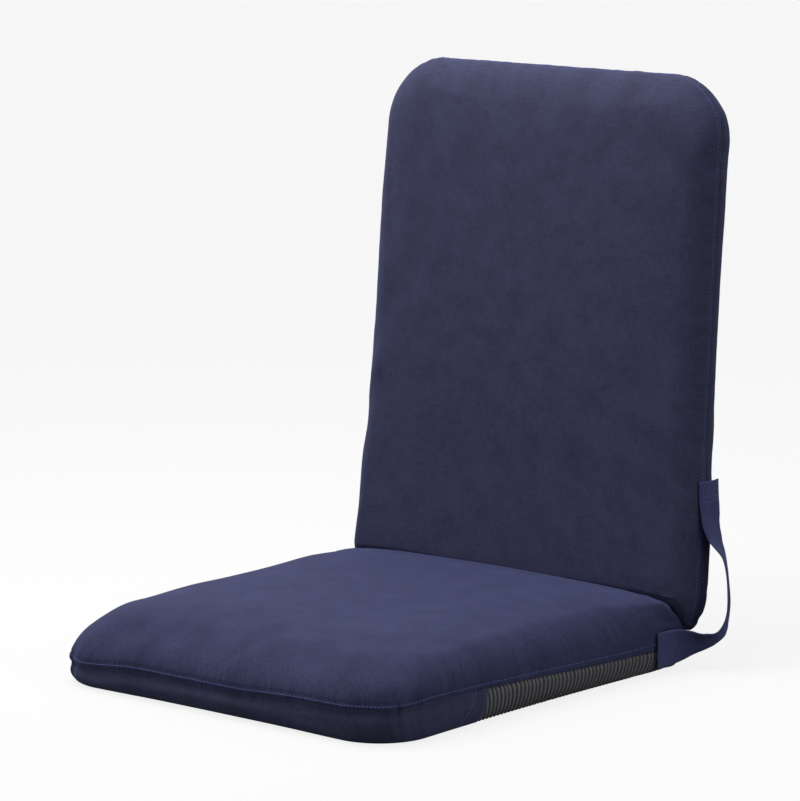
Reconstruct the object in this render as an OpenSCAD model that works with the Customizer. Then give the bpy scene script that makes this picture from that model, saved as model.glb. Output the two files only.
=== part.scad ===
// Folding floor chair: a padded seat and a padded back that fold like a book
// on two ratchet hinges. Millimetres. The seat lies on the floor plane, the
// sitter looks along -Y, and left is the sitter's left, along +X.

/* [Seat cushion] */
// Width over the seat cushion
seat_w = 420; // [390:1:480]
// Depth of the seat cushion, front edge to the seam at its rear end
seat_d = 444; // [410:1:500]
// Height of the crown of the seat
seat_h = 72; // [68:1:84]
// Height of the seat's top along its sides, before it rounds down
seat_edge_h = 62; // [58:1:66]
// Height of the seat's side seam at the front
seat_seam_front = 35; // [31:1:40]
// Height of the seat's side seam at the rear
seat_seam_rear = 28; // [24:1:30]
// Corner radius of the seat's front corners, in plan
seat_corner_r = 76; // [60:1:90]
// Rounding of the seat's upper edges
seat_edge_r = 30; // [24:1:36]
// Rounding of the seat's lower edges
seat_base_r = 22; // [16:1:26]

/* [Back cushion] */
// How much narrower the back cushion is than the seat cushion
back_narrower = 7; // [0:1:20]
// Height of the back cushion above the hinge axis, along the back
back_h = 513; // [440:1:600]
// Lean of the back from upright, in the position shown
rest_tilt = 5; // [4:0.5:6]
// Distance from the back's seam plane to its front face
back_front_t = 27; // [24:1:30]
// Distance from the back's seam plane to its rear face
back_rear_t = 28; // [24:1:32]
// Crown of the back's front face
back_crown = 5; // [3:0.5:7]
// Corner radius of the back cushion
back_corner_r = 74; // [60:1:90]
// Rounding of the back's edges
back_edge_r = 28; // [22:1:34]

/* [Cover] */
// Thickness of the covers, the mesh and the gusset
cloth_t = 1.2; // [0.8:0.1:1.6]
// How far the sides draw in between their corners
side_draw = 2.5; // [1:0.5:4]
// Clearance between a cover and its foam
cloth_gap = 1; // [0.8:0.1:1.4]
// Distance along the sides from the front edge to the end of the plain band, at the seam
band_end_top = 136; // [110:1:170]
// The same distance at the underside
band_end_base = 98; // [70:1:110]

/* [Carry strap] */
// Width of the carry strap
strap_w = 35; // [28:1:40]
// Thickness of the carry strap, two layers of cloth
strap_t = 2; // [1.6:0.1:2.4]

/* [Hinge] */
// Distance from the side of the seat to the middle of a hinge
hinge_inset = 45; // [40:1:60]
// Height of the hinge axis over the floor
axis_z = 53; // [52:0.5:54]
// Distance from the hinge axis to the rear seam of the seat
axis_from_rear = 14; // [12:0.5:16]
// Distance from the hinge axis to the back's seam plane
back_plane = 19; // [18:0.5:20]
// Backward travel from the position shown to lying flat, in degrees
flat_travel = 85; // [80:1:85]
// Forward travel from the position shown to folded shut, in degrees
shut_travel = 83; // [80:1:83]
// Thickness of the seat's hinge plates
plate_t = 2; // [1.5:0.1:2.5]
// Gap between the two plates of a hinge
plate_gap = 4; // [3.6:0.1:4.4]
// Thickness of the ratchet arm
arm_t = 3; // [2.6:0.1:3.2]
// Radius over the teeth of the ratchet
ratchet_r = 20; // [19:0.5:21]
// Depth of the ratchet's notches
notch_depth = 3.5; // [3:0.1:4]
// Number of notches
notch_count = 6; // [4:1:6]
// Diameter of the pivot rivet's shank
pivot_d = 6; // [5:0.5:7]
// Diameter of the small rivets' shanks
rivet_d = 5; // [4:0.5:5.5]

/* [Frame tubes] */
// Outer diameter of the tubes
tube_d = 16; // [14:0.5:17]
// Wall of the tubes
tube_wall = 1.2; // [1:0.1:1.5]
// Height of the seat tube's centre over the floor
seat_tube_z = 30; // [28:0.5:31]
// Centreline radius of the tube bends
bend_r = 60; // [50:1:75]
// Distance from the seat's front edge to the front run of its tube
tube_from_front = 44; // [40:1:60]
// Distance from the top of the back to the top run of its tube
tube_from_top = 42; // [38:1:60]
// Distance from the hinge axis to the seat's cross tube
seat_cross_at = 150; // [130:1:180]
// Distance from the hinge axis to the back's cross tube
back_cross_at = 130; // [110:1:180]

/* [Hidden] */

navy = [0.19, 0.20, 0.34];
mesh_grey = [0.24, 0.24, 0.25];
foam_cream = [0.90, 0.86, 0.70];
tube_black = [0.12, 0.12, 0.13];
zinc = [0.70, 0.71, 0.72];

// One overrun serves every cut, and one small clearance every running fit.
cut_over = 1;
run_gap = 0.3;
rivet_fit = 0.05;
pivot_fn = 48;
hull_fn = 32;

// The seat's ends and the hinge axis, from the middle of the seat.
seat_front = -seat_d / 2;
seat_rear = seat_d / 2;
axis_y = seat_rear - axis_from_rear;
hinge_x = seat_w / 2 - hinge_inset;
back_w = seat_w - back_narrower;

// The crease line: where the seat and the back press on each other. It falls
// from the crease behind the sitter to the notch at the side seams.
notch_z = seat_seam_rear + cloth_t;
crease_z = seat_edge_h + 4 * cloth_t;
crease_y = axis_y + back_plane - back_front_t;
crease_slope = (seat_rear - crease_y) / (crease_z - notch_z);
// How far each cushion would run on past the crease, were it not pressed flat,
// and the radius of the corners that it would have there.
press_over = axis_from_rear * 1.5;
seat_rear_corner_r = seat_corner_r * 0.95;
back_foot_corner_r = back_corner_r * 1.05;

// Steps of a cushion's outline and of its section.
corner_steps = 6;
long_steps = 6;
short_steps = 3;
edge_steps = 4;
crown_steps = 3;
// Inset of the innermost ring of a crown, as a share of the half width.
crown_inset_share = 0.72;
// Least corner radius of an inner ring, as a share of the outer one.
min_corner_share = 0.3;

// Points from the end of one corner to the start of the next.
function between(a, b, steps) = [for (i = [1:steps - 1]) a + (b - a) * i / steps];

function corner(cx, cy, r, start) =
    [for (i = [0:corner_steps])
        [cx + r * cos(start + 90 * i / corner_steps), cy + r * sin(start + 90 * i / corner_steps)]];

// Outline of a cushion, drawn in by an inset: a rectangle with round corners,
// counter-clockwise from the middle of its right rear corner.
function outline(w, y0, y1, r_low, r_high, inset) =
    let (
        x = w / 2 - inset,
        ya = y0 + inset,
        yb = y1 - inset,
        rl = max(r_low - inset, r_low * min_corner_share),
        rh = max(r_high - inset, r_high * min_corner_share),
        c1 = corner(x - rh, yb - rh, rh, 0),
        c2 = corner(rh - x, yb - rh, rh, 90),
        c3 = corner(rl - x, ya + rl, rl, 180),
        c4 = corner(x - rl, ya + rl, rl, 270)
    )
    concat(
        c1, between(c1[corner_steps], c2[0], short_steps),
        c2, between(c2[corner_steps], c3[0], long_steps),
        c3, between(c3[corner_steps], c4[0], short_steps),
        c4, between(c4[corner_steps], c1[0], long_steps)
    );

// A side draws in most at its middle.
function drawn_in(x, y, y0, y1, half) =
    x - side_draw * (x / half) * max(0, 1 - pow((2 * y - y0 - y1) / (y1 - y0), 2));

// The section of a cushion's half, as [inset, share of the rise] pairs:
// a round edge, then the crown.
function section(edge_r, edge_share, half) =
    concat(
        [for (i = [0:edge_steps])
            [edge_r * (1 - cos(90 * i / edge_steps)), edge_share * sin(90 * i / edge_steps)]],
        [for (i = [1:crown_steps])
            [edge_r + (half * crown_inset_share - edge_r) * i / crown_steps,
             edge_share + (1 - edge_share) * (1 - pow(1 - i / crown_steps, 2))]]
    );

function centre_of(ring) =
    [for (k = [0:2]) [for (p = ring) p[k]] * [for (p = ring) 1] / len(ring)];

function flat_list(rings) = [for (ring = rings) for (p = ring) p];

// Quads between one ring and the next, as pairs of triangles.
function ring_walls(first, rings, n) =
    [for (k = [0:rings - 2]) for (i = [0:n - 1])
        let (a = first + k * n + i, b = first + k * n + (i + 1) % n)
        each [[a, a + n, b], [b, a + n, b + n]]];

function fan(first, n, hub) = [for (i = [0:n - 1]) [first + i, hub, first + (i + 1) % n]];

function turned(faces) = [for (f = faces) [f[2], f[1], f[0]]];

// A solid from a stack of rings, closed by a fan at each end.
module ring_solid(rings) {
    n = len(rings[0]);
    m = len(rings);
    points = concat(flat_list(rings), [centre_of(rings[0]), centre_of(rings[m - 1])]);
    polyhedron(
        points,
        concat(
            ring_walls(0, m, n),
            turned(fan(0, n, m * n)),
            fan((m - 1) * n, n, m * n + 1)
        )
    );
}

// A cloth skin: an outer and an inner stack of rings joined along their rim.
module ring_skin(outer, inner) {
    n = len(outer[0]);
    m = len(outer);
    inner_at = m * n;
    points = concat(
        flat_list(outer), flat_list(inner), [centre_of(outer[m - 1]), centre_of(inner[m - 1])]
    );
    polyhedron(
        points,
        concat(
            ring_walls(0, m, n),
            fan((m - 1) * n, n, 2 * m * n),
            turned(ring_walls(inner_at, m, n)),
            turned(fan(inner_at + (m - 1) * n, n, 2 * m * n + 1)),
            [for (i = [0:n - 1])
                let (j = (i + 1) % n)
                each [[i, j, inner_at + i], [j, inner_at + j, inner_at + i]]]
        )
    );
}

// A skin open at both ends: outer rings and inner rings of one band.
module ring_band(outer, inner) {
    n = len(outer[0]);
    m = len(outer);
    inner_at = m * n;
    last = (m - 1) * n;
    polyhedron(
        concat(flat_list(outer), flat_list(inner)),
        concat(
            ring_walls(0, m, n),
            turned(ring_walls(inner_at, m, n)),
            [for (i = [0:n - 1])
                let (j = (i + 1) % n)
                each [[i, j, inner_at + i], [j, inner_at + j, inner_at + i]]],
            [for (i = [0:n - 1])
                let (j = (i + 1) % n)
                each [[last + j, last + i, inner_at + last + i],
                      [last + j, inner_at + last + i, inner_at + last + j]]]
        )
    );
}

// Seat cushion

function seat_seam(y) =
    seat_seam_front + (seat_seam_rear - seat_seam_front) * (y - seat_front) / seat_d;

// Rear limit of the seat at a height: the crease line, and below the notch a
// round edge down to the underside.
function seat_limit(z, back_off) =
    z > notch_z
        ? crease_y + (crease_z - z) * crease_slope - back_off
        : seat_rear - seat_base_r * (1 - sqrt(max(0, 1 - pow((notch_z - z) / notch_z, 2)))) - back_off;

seat_edge_share = (seat_edge_h - seat_seam_front) / (seat_h - seat_seam_front);

// One ring of the seat's upper half.
function seat_upper_ring(inset, share, low, off, back_off, top) =
    [for (p = outline(seat_w, seat_front, seat_rear + press_over,
                      seat_corner_r, seat_rear_corner_r, inset + off))
        let (
            x = drawn_in(p[0], p[1], seat_front, seat_rear, seat_w / 2),
            base = low < 0 ? seat_seam(p[1]) : low,
            z = base + share * (top - base)
        )
        [x, min(p[1], seat_limit(z, back_off)), z]];

// One ring of the seat's lower half, at an angle of its round lower edge.
function seat_lower_ring(angle, low, off, back_off, bottom) =
    [for (p = outline(seat_w, seat_front, seat_rear + press_over, seat_corner_r,
                      seat_rear_corner_r, seat_base_r * (1 - cos(angle)) + off))
        let (
            x = drawn_in(p[0], p[1], seat_front, seat_rear, seat_w / 2),
            base = low < 0 ? seat_seam(p[1]) - cloth_t / 2 : low,
            z = base - (base - bottom) * sin(angle)
        )
        [x, min(p[1], seat_limit(z, back_off)), z]];

module seat_cover_top() {
    steps = section(seat_edge_r, seat_edge_share, seat_w / 2);
    color(navy)
    difference() {
        ring_skin(
            [for (s = steps) seat_upper_ring(s[0], s[1], -1, 0, run_gap, seat_h)],
            [for (s = steps)
                seat_upper_ring(s[0], s[1], -1, cloth_t, run_gap + cloth_t, seat_h - cloth_t)]
        );
        hinge_tunnel();
    }
}

lower_angles = [0, 24, 48, 70];
panel_bottom_gap = cloth_t * 0.6;

module seat_lower_skin() {
    ring_band(
        [for (i = [len(lower_angles) - 1:-1:0])
            seat_lower_ring(lower_angles[i], -1, 0, run_gap, panel_bottom_gap)],
        [for (i = [len(lower_angles) - 1:-1:0])
            seat_lower_ring(lower_angles[i], -1, cloth_t, run_gap + cloth_t, panel_bottom_gap)]
    );
}

// The region in front of the slanted seam that ends the plain band.
module band_region(back_off) {
    translate([-seat_w, 0, 0])
    rotate([90, 0, 90])
    linear_extrude(2 * seat_w)
    polygon([
        [seat_front - cut_over, -cut_over],
        [seat_front + band_end_base - back_off, -cut_over],
        [seat_front + band_end_top - back_off, seat_seam_front],
        [seat_front + band_end_top - back_off, seat_h],
        [seat_front - cut_over, seat_h]
    ]);
}

module seat_cover_band() {
    color(navy)
    intersection() {
        seat_lower_skin();
        band_region(run_gap / 2);
    }
}

module seat_side_mesh() {
    color(mesh_grey)
    difference() {
        seat_lower_skin();
        band_region(-run_gap / 2);
        hinge_tunnel();
    }
}

// A rectangle with round corners, from its four edges.
module round_rect(x0, x1, y0, y1, r) {
    translate([x0 + r, y0]) square([x1 - x0 - 2 * r, y1 - y0]);
    translate([x0, y0 + r]) square([x1 - x0, y1 - y0 - 2 * r]);
    for (x = [x0 + r, x1 - r], y = [y0 + r, y1 - r])
        translate([x, y]) circle(r = r, $fn = pivot_fn);
}

panel_inset = seat_base_r - 2 * cloth_t;

module seat_underside_panel() {
    color(mesh_grey)
    linear_extrude(cloth_t)
    round_rect(
        panel_inset - seat_w / 2 + side_draw, seat_w / 2 - panel_inset - side_draw,
        seat_front + panel_inset, seat_rear - panel_inset - cloth_t,
        seat_corner_r - panel_inset
    );
}

// The foam lies inside the cover and keeps clear of the hinge: it ends at the
// axis, and near the crease it falls away so that seat and back can close.
foam_off = cloth_t + cloth_gap;
seat_relief = 0.11;
back_relief = 0.085;
foam_end = axis_y - run_gap;

function seat_relieved(p) =
    [p[0], min(p[1], foam_end), min(p[2], axis_z - run_gap + seat_relief * (axis_y - min(p[1], foam_end)))];

tube_r = tube_d / 2;
groove_r = tube_r + run_gap;
slot_w = 2 * groove_r;
// The pocket for a hinge reaches this far from the axis.
tongue_from_axis = 84;
seat_pocket = tongue_from_axis + 2 * cut_over;
back_pocket = 42;
seat_tube_reach = axis_y - tongue_from_axis - (seat_front + tube_from_front);
back_tube_start = 46;
back_tube_reach = back_h - tube_from_top - back_tube_start;

// A tube of two legs joined by two bends and a cross run. Its open ends lie
// on y = 0 and the cross run at y = reach, centred on x = 0.
module tube_ring() {
    difference() {
        circle(d = tube_d, $fn = pivot_fn);
        circle(d = tube_d - 2 * tube_wall, $fn = pivot_fn);
    }
}

module u_tube(reach) {
    for (side = [-1, 1]) {
        translate([side * hinge_x, 0, 0])
        rotate([-90, 0, 0])
        linear_extrude(reach - bend_r)
        tube_ring();
        translate([side * (hinge_x - bend_r), reach - bend_r, 0])
        rotate([0, 0, side > 0 ? 0 : 90])
        rotate_extrude(angle = 90, $fn = pivot_fn)
        translate([bend_r, 0])
        tube_ring();
    }
    translate([bend_r - hinge_x, reach, 0])
    rotate([90, 0, 90])
    linear_extrude(2 * (hinge_x - bend_r))
    tube_ring();
}

// The plan of the groove that such a tube lies in.
module u_groove(reach, start) {
    inner = bend_r - groove_r;
    for (side = [-1, 1]) {
        translate([side * hinge_x - groove_r, -start])
        square([2 * groove_r, start + reach - bend_r]);
        intersection() {
            translate([side * (hinge_x - bend_r), reach - bend_r])
            difference() {
                circle(r = bend_r + groove_r, $fn = pivot_fn);
                circle(r = inner, $fn = pivot_fn);
            }
            translate([side > 0 ? hinge_x - bend_r : -2 * hinge_x, reach - bend_r])
            square([hinge_x + bend_r, 2 * bend_r]);
        }
    }
    translate([bend_r - hinge_x, reach - groove_r])
    square([2 * (hinge_x - bend_r), 2 * groove_r]);
}

module seat_grooves() {
    translate([0, axis_y - tongue_from_axis, seat_tube_z - groove_r])
    mirror([0, 1, 0])
    linear_extrude(2 * groove_r)
    u_groove(seat_tube_reach, 2 * cut_over);
    translate([-hinge_x, axis_y - seat_cross_at - groove_r, seat_tube_z - groove_r])
    cube([2 * hinge_x, 2 * groove_r, 2 * groove_r]);
    for (side = [-1, 1])
        translate([side * hinge_x - slot_w / 2, axis_y - seat_pocket, seat_tube_z / 2 - plate_t])
        cube([slot_w, seat_pocket + cut_over, seat_h]);
}

module seat_foam_upper() {
    steps = section(seat_edge_r - foam_off, seat_edge_share, seat_w / 2);
    color(foam_cream)
    difference() {
        ring_solid(
            [for (s = steps)
                [for (p = seat_upper_ring(s[0], s[1], seat_tube_z, foam_off, foam_off,
                                          seat_h - foam_off))
                    seat_relieved(p)]]
        );
        seat_grooves();
    }
}

module seat_foam_lower() {
    color(foam_cream)
    difference() {
        ring_solid(
            [for (angle = [90, 70, 48, 24, 0])
                [for (p = seat_lower_ring(angle, angle > 0 ? -1 : seat_tube_z, foam_off, foam_off,
                                          cloth_t + run_gap))
                    [p[0], min(p[1], foam_end), p[2]]]]
        );
        seat_grooves();
    }
}

// Back cushion, drawn in the back's own frame: x across, y through the back
// to its rear, z up along it from the hinge axis.

module back_frame() {
    translate([0, axis_y, axis_z])
    rotate([-rest_tilt, 0, 0])
    children();
}

// A point of the seat's frame, as [through, up] of the back's frame.
function to_back(y, z) =
    [(y - axis_y) * cos(rest_tilt) - (z - axis_z) * sin(rest_tilt),
     (y - axis_y) * sin(rest_tilt) + (z - axis_z) * cos(rest_tilt)];

crease_b = to_back(crease_y, crease_z);
notch_b = to_back(seat_rear, notch_z);
line_b = (notch_b[1] - crease_b[1]) / (notch_b[0] - crease_b[0]);

// Lower limit of the back at a distance through it: the crease line, and
// behind the notch a round edge up to the rear face.
back_rear_n = back_plane + back_rear_t;
function back_limit(n, off) =
    n < notch_b[0]
        ? notch_b[1] + (n - notch_b[0]) * line_b + off
        : notch_b[1] + off + back_edge_r
            * (1 - sqrt(max(0, 1 - pow((n - notch_b[0]) / (back_rear_n - notch_b[0] + off), 2))));

function back_ring(inset, share, off, back_off, face_n) =
    [for (p = outline(back_w, notch_b[1] - press_over, back_h, back_foot_corner_r,
                      back_corner_r, inset + off))
        let (
            x = drawn_in(p[0], p[1], 0, back_h, back_w / 2),
            n = back_plane + share * (face_n - back_plane)
        )
        [x, n, max(p[1], back_limit(n, back_off))]];

back_front_n = back_plane - back_front_t - back_crown;
back_edge_share = back_front_t / (back_front_t + back_crown);
rear_edge_share = 0.94;

module back_cover_front() {
    steps = section(back_edge_r, back_edge_share, back_w / 2);
    color(navy)
    difference() {
        back_frame()
        ring_skin(
            [for (s = steps) back_ring(s[0], s[1], 0, run_gap, back_front_n)],
            [for (s = steps) back_ring(s[0], s[1], cloth_t, run_gap + cloth_t, back_front_n + cloth_t)]
        );
        hinge_tunnel();
    }
}

function reversed(ring) = [for (i = [len(ring) - 1:-1:0]) ring[i]];

module back_cover_rear() {
    steps = section(back_edge_r, rear_edge_share, back_w / 2);
    seam_gap = cloth_t / 2;
    color(navy)
    difference() {
        back_frame()
        translate([0, seam_gap, 0])
        ring_skin(
            [for (s = steps) reversed(back_ring(s[0], s[1], 0, run_gap, back_rear_n))],
            [for (s = steps)
                reversed(back_ring(s[0], s[1], cloth_t, run_gap + cloth_t, back_rear_n - cloth_t))]
        );
        hinge_tunnel();
    }
}

// One ring of the back's foam, which ends at the hinge axis and falls away
// towards it on the side of the sitter.
function back_foam_ring(inset, share, face_n) =
    [for (p = back_ring(inset, share, foam_off, foam_off, face_n))
        let (h = max(p[2], run_gap))
        [p[0], max(p[1], run_gap - back_relief * h), h]];

module back_grooves() {
    translate([0, back_plane + groove_r, back_tube_start])
    rotate([90, 0, 0])
    linear_extrude(2 * groove_r)
    u_groove(back_tube_reach, cut_over);
    translate([-hinge_x, back_plane - groove_r, back_cross_at - groove_r])
    cube([2 * hinge_x, 2 * groove_r, 2 * groove_r]);
    for (side = [-1, 1])
        translate([side * hinge_x - slot_w / 2, -back_plane, -cut_over])
        cube([slot_w, 2 * back_plane + back_rear_t, back_pocket + cut_over]);
    // The arm's tail runs up to the tube in a narrow slot.
    for (side = [-1, 1])
        translate([side * hinge_x - arm_t / 2 - run_gap, -arm_front - run_gap, back_pocket - cut_over])
        cube([arm_t + 2 * run_gap, arm_front + back_plane + tube_r,
              back_tube_start - back_pocket + 2 * cut_over]);
    // Room for the heads of the rivets that hold the arm in the tube.
    for (side = [-1, 1], h = arm_rivet_hs)
        translate([side * hinge_x - tube_r - head_t - run_gap, back_plane, h])
        rotate([0, 90, 0])
        cylinder(r = rivet_d * 0.8 + run_gap, h = tube_d + 2 * (head_t + run_gap), $fn = hull_fn);
}

module back_foam_front() {
    steps = section(back_edge_r - foam_off, back_edge_share, back_w / 2);
    color(foam_cream)
    back_frame()
    difference() {
        ring_solid([for (s = steps) back_foam_ring(s[0], s[1], back_front_n + foam_off)]);
        back_grooves();
    }
}

module back_foam_rear() {
    steps = section(back_edge_r - foam_off, rear_edge_share, back_w / 2);
    color(foam_cream)
    back_frame()
    difference() {
        ring_solid(
            [for (s = steps) reversed(back_foam_ring(s[0], s[1], back_rear_n - foam_off))]
        );
        back_grooves();
    }
}

// The covers are open to each other round the hinges, between the crease and
// the gusset. This is the space that is cut from them.
tunnel_half = back_w / 2 - cloth_gap - back_corner_r / 3.5;

module hinge_tunnel() {
    translate([-tunnel_half, 0, 0])
    rotate([90, 0, 90])
    linear_extrude(2 * tunnel_half)
    polygon([
        [crease_y + cloth_t, crease_z - cloth_t], [crease_y + cloth_t, crease_z - 3 * cloth_t],
        [crease_y - 3 * cloth_t, crease_z - 4 * cloth_t], [crease_y - 3 * cloth_t, 3 * cloth_t],
        [crease_y + cloth_t, -cut_over],
        [axis_y + 2 * back_rear_n, -cut_over],
        [axis_y + 2 * back_rear_n, axis_z - back_edge_r / 6],
        [axis_y + back_rear_n - 3 * cloth_t, axis_z - back_edge_r / 6],
        [axis_y + back_plane + back_edge_r / 2, crease_z - cloth_t]
    ]);
}

// The gusset: cloth that closes the hinge below and behind, from the rear edge
// of the underside to the foot of the back, with a cheek at each end.
gusset_shares = [[0, 0], [0.30, 0.13], [0.58, 0.34], [0.82, 0.62], [0.97, 0.90], [1, 1.12]];
gusset_y0 = seat_rear - seat_base_r / 2 - cloth_t;
gusset_run = axis_y + back_rear_n + 2 * cloth_t - gusset_y0;
gusset_rise = axis_z - 2 * cloth_t;

function gusset_line(off) =
    [for (p = gusset_shares)
        [gusset_y0 + gusset_run * p[0] - off * p[0] - off / 2,
         cloth_t + gusset_rise * p[1] + off * (1 - p[1] / 2)]];

module gusset_plate(x0, t, outlines) {
    translate([x0, 0, 0])
    rotate([90, 0, 90])
    linear_extrude(t)
    polygon(outlines);
}

module hinge_gusset() {
    line = gusset_line(0);
    inner = gusset_line(cloth_t);
    // Inside edge of a cheek, just outside the two cushions.
    cheek = [
        [gusset_y0 + cloth_t / 2, 3 * cloth_t],
        [seat_rear + cloth_t, notch_z - cloth_t],
        [axis_y + back_plane + back_edge_r / 3, notch_z - cloth_t / 2],
        [axis_y + back_rear_n - 7 * cloth_t, notch_z + 5 * cloth_t]
    ];
    color(navy) {
        gusset_plate(-tunnel_half, 2 * tunnel_half, concat(line, reversed(inner)));
        for (x = [-tunnel_half, tunnel_half - cloth_t])
            gusset_plate(x, cloth_t, concat([for (i = [0:3]) inner[i]], reversed(cheek)));
    }
}

// Carry strap

// The strap's route from the back's side seam, out in a loop and in again to
// the side of the seat. Each row is a point, as shares of the strap's stand-off,
// of its reach forwards from the hinge axis and of its height, and then the way
// its width lies there.
strap_out = 37;
strap_reach = 40;
strap_top = 173;
strap_shares = [
    [-0.12, 1.12, 1.00, -0.12, 0.99, -0.09], [-0.11, 1.05, 0.88, -0.10, 0.98, -0.15],
    [0.06, 0.98, 0.79, -0.14, 0.97, -0.17], [0.38, 0.92, 0.69, -0.23, 0.95, -0.18],
    [0.67, 0.92, 0.58, -0.40, 0.89, -0.20], [0.87, 0.80, 0.43, -0.43, 0.88, -0.21],
    [0.98, 0.65, 0.31, -0.38, 0.89, -0.25], [0.92, 0.52, 0.21, -0.32, 0.92, -0.20],
    [0.70, 0.37, 0.16, -0.30, 0.84, -0.45], [0.38, 0.12, 0.14, -0.28, 0.64, -0.72],
    [0.08, -0.28, 0.13, -0.10, 0.25, -0.95], [0.04, -0.60, 0.13, -0.03, 0.05, -0.99],
    [0.04, -1.00, 0.13, -0.02, 0.02, -1.00]
];

function unit(v) = v / norm(v);

module carry_strap() {
    n = len(strap_shares);
    places = [for (s = strap_shares)
        [seat_w / 2 + strap_out * s[0] - cloth_t, axis_y + strap_reach * s[1], strap_top * s[2]]];
    widths = [for (s = strap_shares) unit([s[3], s[4], s[5]])];
    points = [for (i = [0:n - 1])
        let (
            along = unit(places[min(i + 1, n - 1)] - places[max(i - 1, 0)]),
            across = unit(widths[i] - along * (widths[i] * along)) * strap_w / 2,
            thick = unit(cross(across, along)) * strap_t / 2
        )
        each [places[i] - across - thick, places[i] + across - thick,
              places[i] + across + thick, places[i] - across + thick]];
    color(navy)
    polyhedron(
        points,
        concat(
            ring_walls(0, n, 4),
            [[0, 1, 2], [0, 2, 3]],
            [[4 * n - 4, 4 * n - 2, 4 * n - 3], [4 * n - 4, 4 * n - 1, 4 * n - 2]]
        )
    );
}

// Frame tubes

module flat_tongue() {
    // The tube's end is pressed flat and riveted between the hinge plates.
    tongue_h = tube_d * 1.3;
    difference() {
        union() {
            hull() {
                translate([0, -tube_wall, 0])
                rotate([-90, 0, 0])
                cylinder(d = tube_d, h = tube_wall, $fn = hull_fn);
                translate([-plate_gap / 2, tube_d * 0.7, -tongue_h / 2])
                cube([plate_gap, tube_wall, tongue_h]);
            }
            translate([-plate_gap / 2, tube_d * 0.7, -tongue_h / 2])
            cube([plate_gap, tongue_from_axis - tongue_end - tube_d * 0.7, tongue_h]);
        }
        for (y = tongue_rivet_ys)
            translate([-plate_gap, y, 0])
            rotate([0, 90, 0])
            cylinder(d = rivet_d + 2 * rivet_fit, h = 2 * plate_gap, $fn = pivot_fn);
    }
}

tongue_end = 33;
tongue_rivet_ys = [for (k = [2.2, 5]) tongue_from_axis - tongue_end - k * rivet_d];

module seat_frame_tube() {
    color(tube_black) {
        translate([0, axis_y - tongue_from_axis, seat_tube_z])
        mirror([0, 1, 0])
        u_tube(seat_tube_reach);
        for (side = [-1, 1])
            translate([side * hinge_x, axis_y - tongue_from_axis, seat_tube_z])
            flat_tongue();
    }
}

// A straight tube along x, coped at each end to fit the side of another tube.
module coped_tube() {
    difference() {
        translate([-hinge_x, 0, 0])
        rotate([90, 0, 90])
        linear_extrude(2 * hinge_x)
        tube_ring();
        for (side = [-1, 1])
            translate([side * hinge_x, -tube_d, 0])
            rotate([-90, 0, 0])
            cylinder(d = tube_d, h = 2 * tube_d, $fn = pivot_fn);
    }
}

module seat_cross_tube() {
    color(tube_black)
    translate([0, axis_y - seat_cross_at, seat_tube_z])
    coped_tube();
}

module back_cross_tube() {
    color(tube_black)
    back_frame()
    translate([0, back_plane, back_cross_at])
    rotate([90, 0, 0])
    coped_tube();
}

arm_rivet_hs = [back_tube_start + 2 * rivet_d, back_tube_start + 6 * rivet_d];

module back_frame_tube() {
    color(tube_black)
    back_frame()
    difference() {
        translate([0, back_plane, back_tube_start])
        rotate([90, 0, 0])
        u_tube(back_tube_reach);
        for (side = [-1, 1], h = arm_rivet_hs)
            translate([side * hinge_x - tube_d, back_plane, h])
            rotate([0, 90, 0])
            cylinder(d = rivet_d + 2 * rivet_fit, h = 2 * tube_d, $fn = pivot_fn);
    }
}

// Hinges. Outlines are drawn in the plane of a hinge, with the axis at the
// origin, x towards the rear and y up.

eye_r = pivot_d / 2 + plate_t * 2.5;
lug_r = rivet_d + plate_t * 0.75;
head_r = rivet_d + 0.2 * plate_t;
head_t = plate_t * 0.8;
arm_front = 6;
arm_rear = 16;
tongue_y = seat_tube_z - axis_z;

function spin(p, a) = [p[0] * cos(a) - p[1] * sin(a), p[0] * sin(a) + p[1] * cos(a)];

// The stops are where the arm's two straight edges come to rest.
shut_stop = spin([-arm_front - rivet_d / 2 - run_gap, ratchet_r + rivet_d / 2],
                 shut_travel - rest_tilt);
flat_stop = spin([arm_rear + rivet_d / 2 + run_gap, ratchet_r], -flat_travel - rest_tilt);
pawl_reach = ratchet_r * 1.2;
pawl_drop = ratchet_r * 0.95;
pawl_pivot = [-pawl_reach, -pawl_drop];
// The pawl is drawn as its release holds it: swung down just clear of the teeth.
pawl_lift = 9;

module in_hinge(side, from_centre) {
    translate([side * hinge_x + from_centre, axis_y, axis_z])
    rotate([90, 0, 90])
    children();
}

module hinge_plate_outline() {
    difference() {
        hull() {
            circle(r = eye_r, $fn = hull_fn);
            translate(shut_stop) circle(r = lug_r, $fn = hull_fn);
            translate(flat_stop) circle(r = lug_r, $fn = hull_fn);
            translate([-tongue_from_axis + tongue_rivet_ys[1] - rivet_d / 2, tongue_y])
                circle(r = 2 * rivet_d, $fn = hull_fn);
        }
        circle(d = pivot_d + 2 * rivet_fit, $fn = pivot_fn);
        for (p = [shut_stop, flat_stop, pawl_pivot])
            translate(p) circle(d = rivet_d + 2 * rivet_fit, $fn = pivot_fn);
        for (y = tongue_rivet_ys)
            translate([y - tongue_from_axis, tongue_y])
            circle(d = rivet_d + 2 * rivet_fit, $fn = pivot_fn);
    }
}

module hinge_plate(side, outward) {
    near = outward > 0 ? plate_gap / 2 : -plate_gap / 2 - plate_t;
    color(zinc)
    in_hinge(side, near)
    linear_extrude(plate_t)
    hinge_plate_outline();
}

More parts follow.
